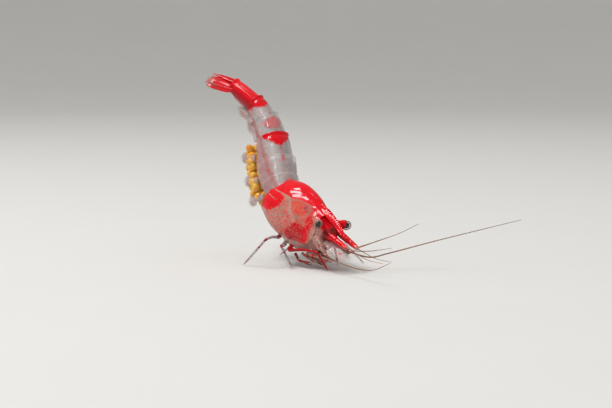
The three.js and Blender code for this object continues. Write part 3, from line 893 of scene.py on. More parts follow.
class SHRIMP_OT_carapace(Operator):
    """Makes the carapace: one shell open below, with its grooves, its rim and its cheek spines"""

    bl_idname = "shrimp.carapace"
    bl_label = "Carapace"

    def execute(self, context):
        sizes = context.scene.shrimp_sizes
        groove = sizes.groove / MM
        rear, front = along(REAR_EDGE_FORWARD), along(FRONT_EDGE_FORWARD)
        sections = {}

        def outwards(run, far):
            """The way out of the shell at a share of its profile."""
            k = min(int(far * 198), 197)
            edge = Vector(run[k + 1] - run[k])
            if not edge.length:
                return Vector((0, 0, 1))
            out = Vector((0, edge.y, -edge.x)).normalized()
            return Vector((0, abs(out.y), out.z)) if far < 0.9 else out

        def place(s, t):
            x = s * CARAPACE_LENGTH
            if s not in sections:
                sections[s] = carapace_profile(x)
            y, z, far = at_share(sections[s], t)
            out = outwards(sections[s][0], far)
            lift = -groove * bump(distance_to(SEAM, x, z)[0], 0, GROOVE_WIDTH)
            lift -= 0.6 * groove * bump(distance_to(FRONT_GROOVE, x, z)[0], 0, FRONT_GROOVE_WIDTH)
            lift += 0.035 * bump(1 - far, 0, 0.02) - 0.02 * bump(1 - far, 0.05, 0.02)
            lift += 0.03 * bump(s, 0, 0.018) - 0.02 * bump(s, 0.04, 0.02)
            lift += 0.05 * spot(x, z, (1.2, -1.5), 0.7)
            lift += 0.3 * step(4.6, 7.0, x) * bump(y, 0, 0.22)
            spines = 0.34 * bump(z, -0.5, 0.09) + 0.12 * bump(z, -3.0, 0.2) - 0.14 * bump(z, 0.05, 0.3)
            y, z = y + out.y * lift, z + out.z * lift
            forward = x + (1 - s) ** 2 * rear(z) + s * s * front(z) + s**14 * spines
            return Vector((forward, math.copysign(y, t - 0.5) if t != 0.5 else 0, z))

        def layers(s, t, p):
            return carapace_markings(s * CARAPACE_LENGTH, p.z)

        shell = sheet("carapace_shell", 96, 132, place, close=False, layers=layers)
        finish_plate(shell, (3.5, 0, -2), sizes.shell / MM, repeat=2)
        settle(shell, BODY, "marked shell", "red_shell", "carapace")
        return {"FINISHED"}


class SHRIMP_OT_rostrum(Operator):
    """Makes the rostrum: a blade with a ridge on each side, teeth above and fewer below"""

    bl_idname = "shrimp.rostrum"
    bl_label = "Rostrum"

    def execute(self, context):
        sizes = context.scene.shrimp_sizes
        top, bottom, width = along(ROSTRUM_TOP), along(ROSTRUM_BOTTOM), along(ROSTRUM_HALF_WIDTH)
        tooth = sizes.tooth / MM

        def saw(x, first, last, count):
            """Teeth leaning forward: a slow rise and a quick fall."""
            if count == 0 or not first < x < last:
                return 0
            phase = (x - first) / (last - first) * count % 1
            return phase / 0.75 if phase < 0.75 else (1 - phase) / 0.25

        def place(s, t):
            x = lerp(ROSTRUM_TOP[0][0], ROSTRUM_TOP[-1][0], s)
            facing = math.cos(TURN * t)
            half = (top(x) - bottom(x)) / 2
            end = min(1, 8 * (1 - s)) ** 0.5
            side, rise = section(TURN * t, width(x), half, half, 1.35)
            side += math.copysign(0.05, side) * bump(facing, -0.05, 0.18) * end
            up, down = max(facing, 0) ** 5, max(-facing, 0) ** 5
            above = saw(x, 6.4, 9.95, sizes.teeth)
            z = bottom(x) + half + rise * end + tooth * above * up * (1 - 0.4 * step(8.5, 10, x))
            z -= 0.7 * tooth * saw(x, 8.6, 9.9, 4) * down
            return Vector((x + 0.07 * up * above, side * end, z))

        def layers(s, t, p):
            low = max(-math.cos(TURN * t), 0)
            tip = step(0.9, 1.0, s)
            # The underside is darkened as painted shade; the tip is a little darker too.
            return unmarked(red=1 - 0.25 * tip, shade=0.55 * low**2 + 0.2 * tip, dots=0.6)

        blade = sheet("rostrum_blade", 170, 28, place, layers=layers)
        with editing(blade):
            bpy.ops.mesh.fill_holes(sides=0)
        settle(blade, BODY, "marked shell", "red_shell", "rostrum")
        return {"FINISHED"}


# ---- Eyes ----
EYESTALK_STEPS = (
    (1.15, 0.17), (0.9, 0.23), (0.66, 0.32), (0.48, 0.41), (0.34, 0.455), (0.24, 0.47), (0.16, 0.465), (0.11, 0.43)
)  # how far behind the eye's middle, and the radius there
EYESTALK_FOOT, EYESTALK_FOOT_RADIUS = (6.95, 0.35, -0.05), 0.12
EYE_RADIUS, EYE_CORE_RADIUS = 0.46, 0.285
EYE_STRETCH = (1.07, 0.88, 1.08, 1)  # a little taller than it is wide


def share_along(piece, foot, tip):
    """How far along the line from foot to tip each point of a piece is."""
    way = tip - foot
    return (positions(piece) - np.array(foot)) @ np.array(way.normalized()) / way.length


def ball(name, radius, segments, rings, at=(0, 0, 0)):
    deselect()
    bpy.ops.mesh.primitive_uv_sphere_add(segments=segments, ring_count=rings, radius=radius, location=at)
    piece = bpy.context.object
    piece.name = name
    bpy.ops.object.transform_apply(location=True, rotation=True, scale=True)
    return piece


class SHRIMP_OT_eyes(Operator):
    """Makes each eye: a flared stalk, a dark core and the clear layer over it"""

    bl_idname = "shrimp.eyes"
    bl_label = "Eyes"

    def execute(self, context):
        for name, side in SIDES:
            eye = Vector((EYE_AT.x + 0.05, side * EYE_AT.y, EYE_AT.z - 0.05))
            foot = mirrored(EYESTALK_FOOT, side)
            way = (eye - foot).normalized()
            turned = Matrix.Translation(eye) @ way.to_track_quat("X", "Z").to_matrix().to_4x4()
            oval = (turned.inverted(), Matrix.Diagonal(EYE_STRETCH), turned)
            path = [foot, *(eye - way * back for back, _ in EYESTALK_STEPS)]
            radii = [EYESTALK_FOOT_RADIUS, *(radius for _, radius in EYESTALK_STEPS)]
            stalk = draw_out(f"eyestalk_cup_{name}", path, radii, sides=20, point_end=False)
            settle_shape(subdivide(stalk), *oval)
            share = share_along(stalk, foot, eye)
            paint(stalk, **unmarked(dots=0.5))
            paint(stalk, red=np.clip(1.15 - 0.9 * (share > 0.93), 0, 1), shade=0.35 * (share > 0.86))
            settle(stalk, BODY, "marked shell", "red_shell", f"eyestalk_{name}")

            core = ball(f"eye_core_{name}", EYE_CORE_RADIUS, 32, 20, eye)
            settle(settle_shape(core, *oval), BODY, "eye core", "eye")

            dome = ball(f"eye_dome_{name}", EYE_RADIUS, 40, 26, eye)
            with editing(dome):
                bpy.ops.mesh.bisect(plane_co=eye - way * 0.2, plane_no=way, clear_inner=True)
                bpy.ops.mesh.edge_face_add()
            settle(settle_shape(dome, *oval), BODY, "clear eye", "eye", f"eye_{name}")
        return {"FINISHED"}


# ---- Soft body ----
RING_STATIONS = (0.97, 0.85, 0.65, 0.45, 0.25, 0.1, 0.02)  # shares of a ring's length, from its rear
# x, bottom and share of the shell's size of each section under the carapace
TRUNK_SECTIONS = (
    (0.9, -3.7, 0.86), (2.0, -4.5, 0.9), (3.6, -4.8, 0.9), (5.0, -4.8, 0.9), (6.0, -4.4, 0.9), (6.6, -3.8, 0.88)
)
# x, top, bottom and half-width of each section of the face
FACE_SECTIONS = (
    (7.1, 0.1, -3.45, 1.3), (7.5, -0.05, -3.35, 1.2), (7.9, -0.1, -3.15, 1.1),
    (8.3, -0.15, -2.8, 0.92), (8.7, -0.3, -2.4, 0.68), (8.95, -0.75, -1.9, 0.4),
)


def ring_section(i, s, scale):
    """One ring of the flesh inside abdomen ring i, at a share of its length, in the body's measures."""
    length, _, _, half_height, half_width = RINGS[i]
    _, _, _, next_height, next_width = RINGS[i + 1]
    high, wide = lerp(half_height, next_height, s) * scale, lerp(half_width, next_width, s) * scale

    def point(angle):
        return RING_FRAMES[i] @ Vector((-length * s, *section(angle, wide, high, high * 0.92, 2.1)))

    return point


def trunk_section(x, bottom, share):
    """A section of the flesh under the carapace, a share of the shell's width and height."""
    above = along(CARAPACE_TOP)(x) - WIDEST_AT
    wide = along(CARAPACE_HALF_WIDTH)(x)

    def point(angle):
        fullness = BACK_FULLNESS if math.cos(angle) > 0 else BELLY_FULLNESS
        side, rise = section(angle, wide * share, above * share, WIDEST_AT - bottom, fullness)
        return Vector((x, side, WIDEST_AT + rise))

    return point


def face_section(x, top, bottom, wide):
    half = (top - bottom) / 2

    def point(angle):
        side, rise = section(angle, wide, half, half, 2.2)
        return Vector((x, side, bottom + half + rise))

    return point


def flesh_sections():
    """The sections of the soft body from the tail to the face."""
    for i in range(5, -1, -1):
        for s in RING_STATIONS:
            swell = 0.80 + 0.10 * math.sin(math.pi * s) ** 0.6
            yield ring_section(i, s, 0.6 if i == 5 and s > 0.9 else swell)
    for measures in TRUNK_SECTIONS:
        yield trunk_section(*measures)
    for measures in FACE_SECTIONS:
        yield face_section(*measures)


def flesh_markings(s, t, p):
    face = step(6.3, 7.4, p.x)
    angle = abs(2 * t - 1)  # 1 on the back, 0 below
    gut = bump(angle, 1, 0.09) * (1 - face)
    brow = step(6.3, 6.7, p.x) * step(-0.8, -0.45, p.z) * step(8.4, 8.0, p.x)
    tail = step(0.16, 0.12, s)
    # Painted shade: the flesh inside ring 6 seen below its plate, the flesh between the eye and the antennules under
    # the rostrum, and the face's front. The faint darkening of the whole face is its browner tone; the gut's dark line
    # is its own.
    dark = 0.7 * tail + 0.16 * face + 0.9 * step(-1.5, -0.9, p.z) * step(7.9, 8.3, p.x) + 0.45 * step(8.3, 8.6, p.x)
    return {
        "pale": 0.55 * (1 - face) * step(0.25, 0.6, angle),
        "shade": max(0.5 * gut, min(dark, 0.95)),
        "red": max(brow, tail),
        "dots": 0.25 + 0.2 * face,
        "fibre": wave(150 * s + 9 * abs(angle - 0.5)) * (1 - face),
    }


class SHRIMP_OT_soft_body(Operator):
    """Makes the soft body inside the shell, in one skin from the tail to the face"""

    bl_idname = "shrimp.soft_body"
    bl_label = "Soft body"

    def execute(self, context):
        rings = list(flesh_sections())
        last = len(rings) - 1

        def place(s, t):
            if s in (0, 1):  # the tail's end and the face's are closed at their middles
                end = rings[last * int(s)]
                return end(0).lerp(end(math.pi), 0.5)
            k = min(int(s * last), last - 1)
            return rings[k](TURN * t).lerp(rings[k + 1](TURN * t), s * last - k)

        skin = sheet("soft_body", 5 * last, 48, place, layers=flesh_markings)
        relax(skin, repeat=3)
        settle(skin, BODY, "muscle flesh", "flesh", "head", "thorax")
        return {"FINISHED"}


# each jaw's root, its reach and its radius
JAWS = (((7.35, 0.52, -3.45), 0.75, 0.26), ((7.0, 0.36, -3.75), 0.95, 0.24), ((7.65, 0.3, -3.3), 0.7, 0.2))


class SHRIMP_OT_mouth(Operator):
    """Makes the jaws, folded one over the other under the face"""

    bl_idname = "shrimp.mouth"
    bl_label = "Mouthparts"

    def execute(self, context):
        lobes = []
        for _, side in SIDES:
            for k, (place, reach, radius) in enumerate(JAWS):
                root = mirrored(place, side)
                tip = root + Vector((reach, -side * 0.16, 0.14 + 0.05 * k))
                bow = root.lerp(tip, 0.5) + Vector((0, side * 0.1, -0.16))
                swells = (0.55 + 0.55 * math.sin(math.pi * min(1, 0.15 + 0.8 * n / 8)) for n in range(9))
                radii = [radius * swell for swell in swells]
                lobes.append(subdivide(draw_out("lobe", smooth_path([root, bow, tip], 9), radii)))
        mouth = join("mouthpart_lobes", lobes)
        paint(mouth, pale=0.2, shade=0.2, red=0.0, dots=0.4)
        settle(mouth, BODY, "cheek flesh", "flesh", "mouthparts")
        return {"FINISHED"}


# ---- Feelers ----
FEELER_WAYS = {
    "outer_left": ((0.9, 1.2, 0.5), (2.5, 3.1, 1.4), (3.6, 4.6, 2.3)),
    "inner_left": ((0.8, 0.5, -0.5), (1.6, 1.2, -1.0), (2.6, 2.4, -1.35)),
    "outer_right": ((1.3, 0.1, -0.2), (3.0, 0.7, -0.1), (5.0, 1.6, 0.3)),
    "inner_right": ((1.2, 0.3, -0.55), (2.6, 0.5, -1.0), (4.2, 0.9, -1.2)),
    "antenna_left": ((1.4, 1.7, -0.6), (2.6, 3.3, -0.2), (5.6, 7.3, 1.1), (10.3, 13.5, 3.0)),
    "antenna_right": ((1.5, -0.3, -0.6), (4.6, -0.3, -1.1), (8.2, -1.0, -0.9), (12.3, -2.4, 0.3)),
}
PEDUNCLE_FOOT = (8.25, 0.88, -0.52)
PEDUNCLE_TIP = (11.4, 0.75, -0.1)
PEDUNCLE_SPINE = ((0.1, 0.3, 0), (0.7, 0.52, 0.02), (1.5, 0.46, 0.1))
ANTENNA_BASE = ((7.2, 0.85, -1.9), (7.85, 1.0, -1.82), (8.6, 1.2, -1.65), (9.25, 1.38, -1.55))
ANTENNA_THORN = ((8.9, 1.75, -1.7), (9.3, 1.95, -1.72), (9.65, 2.0, -1.7))
STEM_ROOT = (9.1, 1.45, -1.72)
STEM_JOINTS = ((0, 0, 0), (0.35, 0.06, -0.02), (0.62, 0.1, 0.02), (0.95, 0.12, 0.05))
SCALE_FOOT = (9.2, 1.3, -1.0)
SCALE_LENGTH = 3.1
SCALE_OUTLINE = (
    ((0, 0.25), (0.15, 0.42), (0.45, 0.55), (0.75, 0.52), (0.92, 0.34), (1, 0.1)),
    ((0, 0.25), (0.15, 0.42), (0.45, 0.47), (0.75, 0.46), (0.92, 0.36), (1, 0.16)),
)


def feeler(name, root, way, thickness, points):
    """A tapering feeler from its root out along its way, every joint of it a faint ring."""
    path = smooth_path([root, *(root + Vector(step_out) for step_out in FEELER_WAYS[way])], points)
    radii = []
    for n in range(points):
        share = n / (points - 1)
        taper, collar = 1 - 0.72 * share**0.8, 1 + 0.45 * bump(share, 0, 0.012)
        radii.append(thickness * taper * collar * (1.05 if n % 2 else 0.95))
    return draw_out(name, path, radii, sides=8)


def segmented(name, joints, radii, neck=0.16, flare=0.12, sides=14, points=44):
    """A limb of several lengths: each flares towards its far end and meets the next at a thin neck."""
    path = smooth_path(joints, points)
    chord = np.cumsum([0] + [(Vector(b) - Vector(a)).length for a, b in zip(joints, joints[1:])])
    shares = chord / chord[-1]
    size_at, inner = along(list(zip(shares, radii))), shares[1:-1]

    def width(share):
        wide = size_at(share)
        for joint in inner:
            wide *= 1 - neck * bump(share, joint, 0.012) + flare * bump(share, joint - 0.03, 0.02)
        return wide

    limb = draw_out(name, path, [width(n / (points - 1)) for n in range(points)], sides)
    share = nearest(path, limb) / (points - 1)
    paint(limb, band=np.clip(sum(np.exp(-(((share - joint) / 0.045) ** 2)) for joint in inner), 0, 1))
    return limb


class SHRIMP_OT_antennules(Operator):
    """Makes the antennules: three stout lengths with a spine outside, and two feelers each"""

    bl_idname = "shrimp.antennules"
    bl_label = "Antennules"

    def execute(self, context):
        for name, side in SIDES:
            foot, tip = mirrored(PEDUNCLE_FOOT, side), mirrored(PEDUNCLE_TIP, side)
            joints = [foot.lerp(tip, share) for share in (0, 0.25, 0.56, 0.8, 1)]
            stout = segmented("stout", joints, (0.28, 0.34, 0.3, 0.27, 0.22), neck=0.24, sides=18, points=40)
            path = smooth_path([foot + mirrored(place, side) for place in PEDUNCLE_SPINE], 9)
            spine = draw_out("spine", path, (0.14, 0.13, 0.12, 0.1, 0.08, 0.06, 0.045, 0.03, 0.015), sides=8)
            whole = join(f"antennule_stem_{name}", [subdivide(stout), spine])
            share = share_along(whole, foot, tip)
            paint(whole, **unmarked(dots=0.7))
            # The peduncle's base is darkened nearly to deep red: painted shade under the rostrum.
            paint(
                whole, red=np.clip(1.1 - (share - 0.84) / 0.2, 0.25, 1),
                pale=np.clip((share - 0.82) / 0.18, 0, 0.9), shade=0.98 * np.clip((0.36 - share) / 0.1, 0, 1),
            )
            settle(whole, BODY, "marked shell", "red_shell", f"antennule_{name}")
            for part, spread, thickness in (("outer", 0.15, 0.07), ("inner", -0.15, 0.055)):
                root = on_floor(tip.x - 0.08, tip.y + side * spread, tip.z)
                line = feeler(f"antennule_feeler_{part}_{name}", root, f"{part}_{name}", thickness, points=90)
                settle(line, FLOOR, "ringed feeler", "feeler", f"antennule_flagellum_{part}_{name}")
        return {"FINISHED"}


def closing(s):
    """How a blade's outline rounds off at its end."""
    return min(1, (1 - s) * 14) ** 0.5


def fin(name, outline, length, thickness, ridge, layers=None):
    """A thin blade from x = 0 back to -length. The outline gives how far it reaches to each side."""
    left, right = (along(edge) for edge in outline)

    def place(s, t):
        across, up = math.cos(TURN * t), math.sin(TURN * t)
        y = across * (left(s) if across > 0 else right(s)) * closing(s)
        z = up * thickness * (0.35 + 0.65 * math.sin(math.pi * min(s * 1.1 + 0.1, 1)) ** 0.5)
        z += ridge * bump(y, 0, 0.1) * (1 if up > 0 else -1) * (1 - 0.7 * s) * min(1, 6 * (1 - s))
        return Vector((-s * length, y, z))

    piece = sheet(name, 44, 40, place, layers=layers)
    with editing(piece):
        bpy.ops.mesh.fill_holes(sides=0)
        bpy.ops.mesh.normals_make_consistent(inside=False)
    return piece


def margin_hairs(name, outline, length, frame_in, count, reach, radius, start):
    """Hairs standing out from a blade's edges, longer towards its end."""
    turned = frame_in.to_3x3()
    roots = []
    for side, edge in zip((1, -1), outline):
        edge = along(edge)
        for k in range(count):
            s = start + (1 - start) * ((k + 0.5) / count) ** 0.8
            root = frame_in @ Vector((-s * length, side * edge(s) * closing(s) * 0.97, 0))
            out = Vector((-0.35 - 1.1 * step(0.55, 1.0, s), side * (1.15 - 0.8 * step(0.8, 1.0, s)), 0))
            long = reach * (0.6 + 0.5 * math.sin(2.4 * k)) * 0.25 + reach * (0.5 + 0.5 * s)
            droop = turned @ Vector((-0.18, 0, 0.02 * math.sin(5 * k)))
            roots.append((root, turned @ out.normalized(), long, radius, droop))
    return spikes(name, roots)


class SHRIMP_OT_antennae(Operator):
    """Makes the antennae: a swollen base, a fringed scale and a long whip-like feeler each"""

    bl_idname = "shrimp.antennae"
    bl_label = "Antennae"

    def execute(self, context):
        hair = context.scene.shrimp_sizes.hair / MM / 2
        for name, side in SIDES:
            path = smooth_path([mirrored(place, side) for place in ANTENNA_BASE], 16)
            radii = [lerp(0.42, 0.52, step(0, 0.4, n / 15)) - 0.22 * step(0.5, 1, n / 15) for n in range(16)]
            base = subdivide(draw_out("base", path, radii, sides=20))
            stem_root = mirrored(STEM_ROOT, side)
            joints = [stem_root + mirrored(place, side) for place in STEM_JOINTS]
            stem = segmented("stem", joints, (0.24, 0.22, 0.2, 0.17), points=26)
            path = smooth_path([mirrored(place, side) for place in ANTENNA_THORN], 7)
            thorn = draw_out("thorn", path, (0.14, 0.12, 0.1, 0.07, 0.05, 0.03, 0.012), sides=8)
            whole = join(f"antenna_root_{name}", [base, stem, thorn])
            height = positions(whole)[:, 2]
            # The base's lower side is darkened as painted shade.
            shade = 0.55 * np.clip((-1.95 - height) / 0.4, 0, 1)
            paint(whole, pale=0.0, red=0.0, dots=0.45 + 0.3 * (height > -1.45), shade=shade)
            settle(whole, BODY, "cheek flesh", "flesh", f"antenna_base_{name}")

            frame_in = shift(*mirrored(SCALE_FOOT, side)) @ turn("Z", 180 - side * 6)
            frame_in = frame_in @ turn("Y", 2) @ turn("X", side * 25)
            outline = SCALE_OUTLINE if side < 0 else SCALE_OUTLINE[::-1]
            plate = fin(
                f"antenna_plate_{name}", outline, SCALE_LENGTH, 0.045, ridge=0.03,
                layers=lambda s, t, p: unmarked(clear=1, dots=0.1 + 0.1 * (1 - s), pale=0.3 * (1 - s), flush=0.22),
            )
            settle_shape(plate, frame_in)
            settle(plate, BODY, "clear fin", "clear_shell", f"antenna_scale_{name}")
            fringe = margin_hairs(
                f"antenna_fringe_{name}", outline, SCALE_LENGTH, frame_in, 46, reach=0.42, radius=hair, start=0.25
            )
            settle(fringe, BODY, "fringing hair", "clear_shell")

            root = on_floor(*(stem_root + Vector((0.85, side * 0.12, 0.05))))
            foot = on_floor(9.55, side * 1.5, -1.65)
            whip = feeler(f"antenna_whip_{name}", foot.lerp(root, 0.5), f"antenna_{name}", 0.085, points=230)
            nodes = [f"antenna_feeler_{part}_{name}" for part in ("near", "far")]
            settle(whip, FLOOR, "ringed feeler", "feeler", *nodes)
        return {"FINISHED"}


# ---- Legs ----
# hip, knee, wrist and tip of the limbs under the mouth
FRONT_LIMBS = {
    "maxilliped": ((7.3, 0.68, -3.85), (8.2, 0.68, -3.45), (9.2, 0.6, -3.05), (10.4, 0.45, -2.55)),
    "leg_1": ((6.5, 0.42, -4.4), (7.4, 0.38, -4.3), (8.1, 0.4, -4.0), (9.0, 0.42, -3.65)),
    "leg_2": ((6.0, 0.72, -4.85), (6.9, 0.88, -4.95), (7.6, 0.88, -4.65), (8.5, 0.85, -4.2)),
}
# thigh and shin, hip, foot on the floor from below the rear edge, which way the knee points, and finish
WALKING_LEGS = {
    "leg_3_right": (4.25, 2.1, (5.5, 1.24, -4.72), (7.1, -0.8), (0.4, -0.45, 0.9), "red leg"),
    # leg_3_left and leg_4_left, on the far side, take the darker finish as painted shade.
    "leg_3_left": (2.9, 3.0, (5.3, 1.15, -4.75), (4.8, 2.4), (0.5, 1, 0.8), "dark leg"),
    "leg_4_right": (2.9, 2.8, (4.5, 1.15, -4.85), (3.2, -2.1), (0.8, -1, 0.5), "banded leg"),
    "leg_4_left": (2.9, 3.3, (4.4, 1.15, -4.85), (0.7, 3.3), (0, 1, 0.6), "dark leg"),
    "leg_5_right": (3.1, 4.2, (3.5, 1.2, -4.6), (-1.0, -5.0), (1, -0.6, 0.6), "banded leg"),
    "leg_5_left": (3.0, 3.9, (3.4, 1.15, -4.85), (-4.4, 2.2), (0.2, 1, 0.6), "banded leg"),
}
LEG_TAPER = (1.5, 1.4, 1.12, 0.98, 0.86, 0.8, 0.6)
TOE_TAPER = (0.62, 0.56, 0.5, 0.44, 0.37, 0.3, 0.22, 0.15, 0.08)
TOE_HEIGHT = 0.036
PALM_SWELLS = ((0, 0.6), (0.1, 0.95), (0.25, 1.12), (0.42, 1.0), (0.5, 0.8))
CLAW_RADIUS, CLAW_HAIR, LIMB_HAIR = 0.14, 0.011, 0.009
FINGER_TAPER = (0.5, 0.5, 0.46, 0.42, 0.36, 0.3, 0.24, 0.16)


def knee_place(hip, foot, thigh, shin, towards):
    way = foot - hip
    distance = way.length
    way.normalize()
    share = (thigh**2 - shin**2 + distance**2) / (2 * distance)
    height = math.sqrt(max(thigh**2 - share**2, 0))
    out = (towards - way * towards.dot(way)).normalized()
    return hip + way * share + out * height


def claw(name, palm, tip, radius):
    """A small pincer: a swollen palm, two fingers and a brush of hairs at the tip of each."""
    way, reach = (tip - palm).normalized(), (tip - palm).length
    across = way.cross(Vector((0, 1, 0))).normalized()
    path = [palm + way * reach * t for t, _ in PALM_SWELLS]
    parts, hairs = [subdivide(draw_out("palm", path, [radius * swell for _, swell in PALM_SWELLS], sides=14))], []
    for bend in (1, -1):
        out = across * bend * radius
        end = tip + out * 0.25
        bow = [palm + way * reach * 0.45 + out * 0.45, palm + way * reach * 0.75 + out * 0.85, end]
        parts.append(draw_out("finger", smooth_path(bow, 8), [radius * taper for taper in FINGER_TAPER], sides=10))
        for k in range(16):
            spread = Vector((0, math.sin(2.1 * k) * 0.5, 0)) + across * (0.25 * bend + 0.45 * math.cos(1.7 * k))
            length, droop = 0.3 + 0.08 * math.sin(3 * k), Vector((0, 0, -0.03))
            hairs.append((end - way * 0.12 * (k % 3), way + spread, length, CLAW_HAIR, droop))
    return parts, spikes(name, hairs)


class SHRIMP_OT_front_limbs(Operator):
    """Makes the feeding limbs and the two pairs of small claws, held under the mouth"""

    bl_idname = "shrimp.front_limbs"
    bl_label = "Feeding limbs and claws"

    def execute(self, context):
        for name, side in SIDES:
            for limb_name, joints in FRONT_LIMBS.items():
                names = [f"{limb_name}_{part}_{name}" for part in ("limb", "brush")]
                joints = [mirrored(joint, side) for joint in joints]
                if limb_name == "maxilliped":
                    limb, brush = self.feeding_limb(*names, side, *joints)
                else:
                    limb, brush = self.clawed_limb(*names, *joints)
                # leg_2 sits under the face and takes the darker finish as painted shade.
                finish = "dark leg" if limb_name == "leg_2" else "pale leg"
                settle(limb, BODY, finish, "leg", f"{limb_name}_{name}")
                settle(brush, BODY, "fringing hair", "leg")
        return {"FINISHED"}

    def feeding_limb(self, limb_name, brush_name, side, hip, knee, wrist, tip):
        joints = [hip, knee, wrist, wrist.lerp(tip, 0.6), tip]
        limb = segmented(limb_name, joints, (0.15, 0.14, 0.12, 0.09, 0.035), points=46)
        hairs = []
        for k in range(70):
            at = wrist.lerp(tip, 0.05 + 0.93 * k / 70)
            out = Vector((0.5, side * 0.8 * math.sin(2.3 * k), -0.9 + 0.5 * math.cos(1.9 * k)))
            out += 0.4 * (tip - wrist).normalized()
            hairs.append((at, out, 0.22 + 0.07 * math.sin(4 * k), LIMB_HAIR, Vector((0.04, 0, 0))))
        return limb, spikes(brush_name, hairs)

    def clawed_limb(self, limb_name, brush_name, hip, knee, wrist, tip):
        stem = segmented("limb", [hip, hip.lerp(knee, 0.5), knee, wrist], (0.15, 0.13, 0.12, 0.11), points=34)
        parts, brush = claw(brush_name, wrist, tip, CLAW_RADIUS)
        return join(limb_name, [stem, *parts]), brush


class SHRIMP_OT_walking_legs(Operator):
    """Makes the six walking legs, each ending in a small hooked claw on the floor"""

    bl_idname = "shrimp.walking_legs"
    bl_label = "Walking legs"

    def execute(self, context):
        width = context.scene.shrimp_sizes.leg / MM
        for name, (thigh, shin, (x, y, z), foot_at, bend, finish) in WALKING_LEGS.items():
            side = 1 if name.endswith("left") else -1
            hip = on_floor(x, side * y, z)
            root = on_floor(x - 0.15, side * (y - 0.25), z + 0.5)
            foot = Vector((REAR_EDGE.x + foot_at[0], REAR_EDGE.y + foot_at[1], TOE_HEIGHT))
            knee = knee_place(hip, Vector((foot.x, foot.y, 0)), thigh, shin, Vector(bend))
            wrist, ankle = knee.lerp(foot, 0.26), knee.lerp(foot, 0.85)
            ankle.z = max(ankle.z, 0.35)
            bow = hip.lerp(knee, 0.55) + Vector((0, 0, 0.12))
            joints = [root, hip, hip.lerp(knee, 0.16), bow, knee, wrist, ankle]
            leg = segmented("leg", joints, [width * taper for taper in LEG_TAPER], neck=0.0, flare=0.0, points=96)
            self.shape_joints(leg, joints, (1, 2, 4, 5))
            hook = ankle.lerp(foot, 0.45) + (ankle - knee).normalized() * 0.06
            path = smooth_path([ankle.lerp(foot, -0.05), hook, foot], len(TOE_TAPER))
            toe = draw_out("toe", path, [width * taper for taper in TOE_TAPER], sides=10)
            thorn = self.thorns(knee, ankle, foot, width)
            settle(join(f"walking_{name}", [leg, toe, thorn]), FLOOR, finish, "leg", name)
        return {"FINISHED"}

    def shape_joints(self, leg, joints, which):
        """Swells the leg just before each joint, pinches it at the joint and bands it there."""
        run = np.array([list(p) for p in smooth_path(joints, 240)])
        near, spots = nearest(run, leg), positions(leg)
        centre, band, factor = run[near], 0, 1
        for j in which:
            home = int(np.argmin(((run - np.array(joints[j])) ** 2).sum(axis=1)))
            gap = (near - home) / len(run)
            swell, pinch = np.exp(-(((gap + 0.016) / 0.012) ** 2)), np.exp(-((gap / 0.006) ** 2))
            factor = factor * (1 + 0.2 * swell - 0.2 * pinch)
            band = band + np.exp(-((gap / 0.022) ** 2))
        reshape(leg, centre + (spots - centre) * factor[:, None])
        paint(leg, band=np.clip(band, 0, 1))

    def thorns(self, knee, ankle, foot, width):
        """Two rows of thorns on the inside: long ones down the shin, short ones on the toe."""
        down = (foot - knee).normalized()
        inward = down.cross(Vector((0, 0, 1)).cross(down)).normalized()
        still = Vector((0, 0, 0))
        thorns = []
        for k in range(12):
            at = knee.lerp(foot, 0.34 + 0.045 * k)
            thorns.append((at - inward * width * 0.5, down * 0.9 - inward * 0.7, 0.16, 0.022, still))
        for k in range(5):
            at = ankle.lerp(foot, 0.25 + 0.14 * k)
            thorns.append((at - inward * width * 0.25, down * 0.5 - inward * 0.9, 0.07, 0.016, still))
        return spikes("thorn", thorns, sides=4)


# ---- Abdomen ----
PLATE_REACH = (0.34, 0.46, 0.38, 0.36, 0.34, 0.36)  # how far each side lobe hangs, against the ring
SIDE_LINE = (-56, -60, -69, -89, -106, -120)  # where the line along the flank crosses each plate, in degrees


def plate_profile(wide, high, hang):
    """A plate's section from the back's midline out and down to the tip of its side lobe."""
    run = [section(angle, wide, high, high, PLATE_FULLNESS) for angle in np.linspace(0, math.radians(98), 90)]
    side, low = run[-1]
    run += [(side * (1 - 0.24 * (k / 40) ** 2.2), low - k / 40 * hang) for k in range(1, 41)]
    return measured(run)


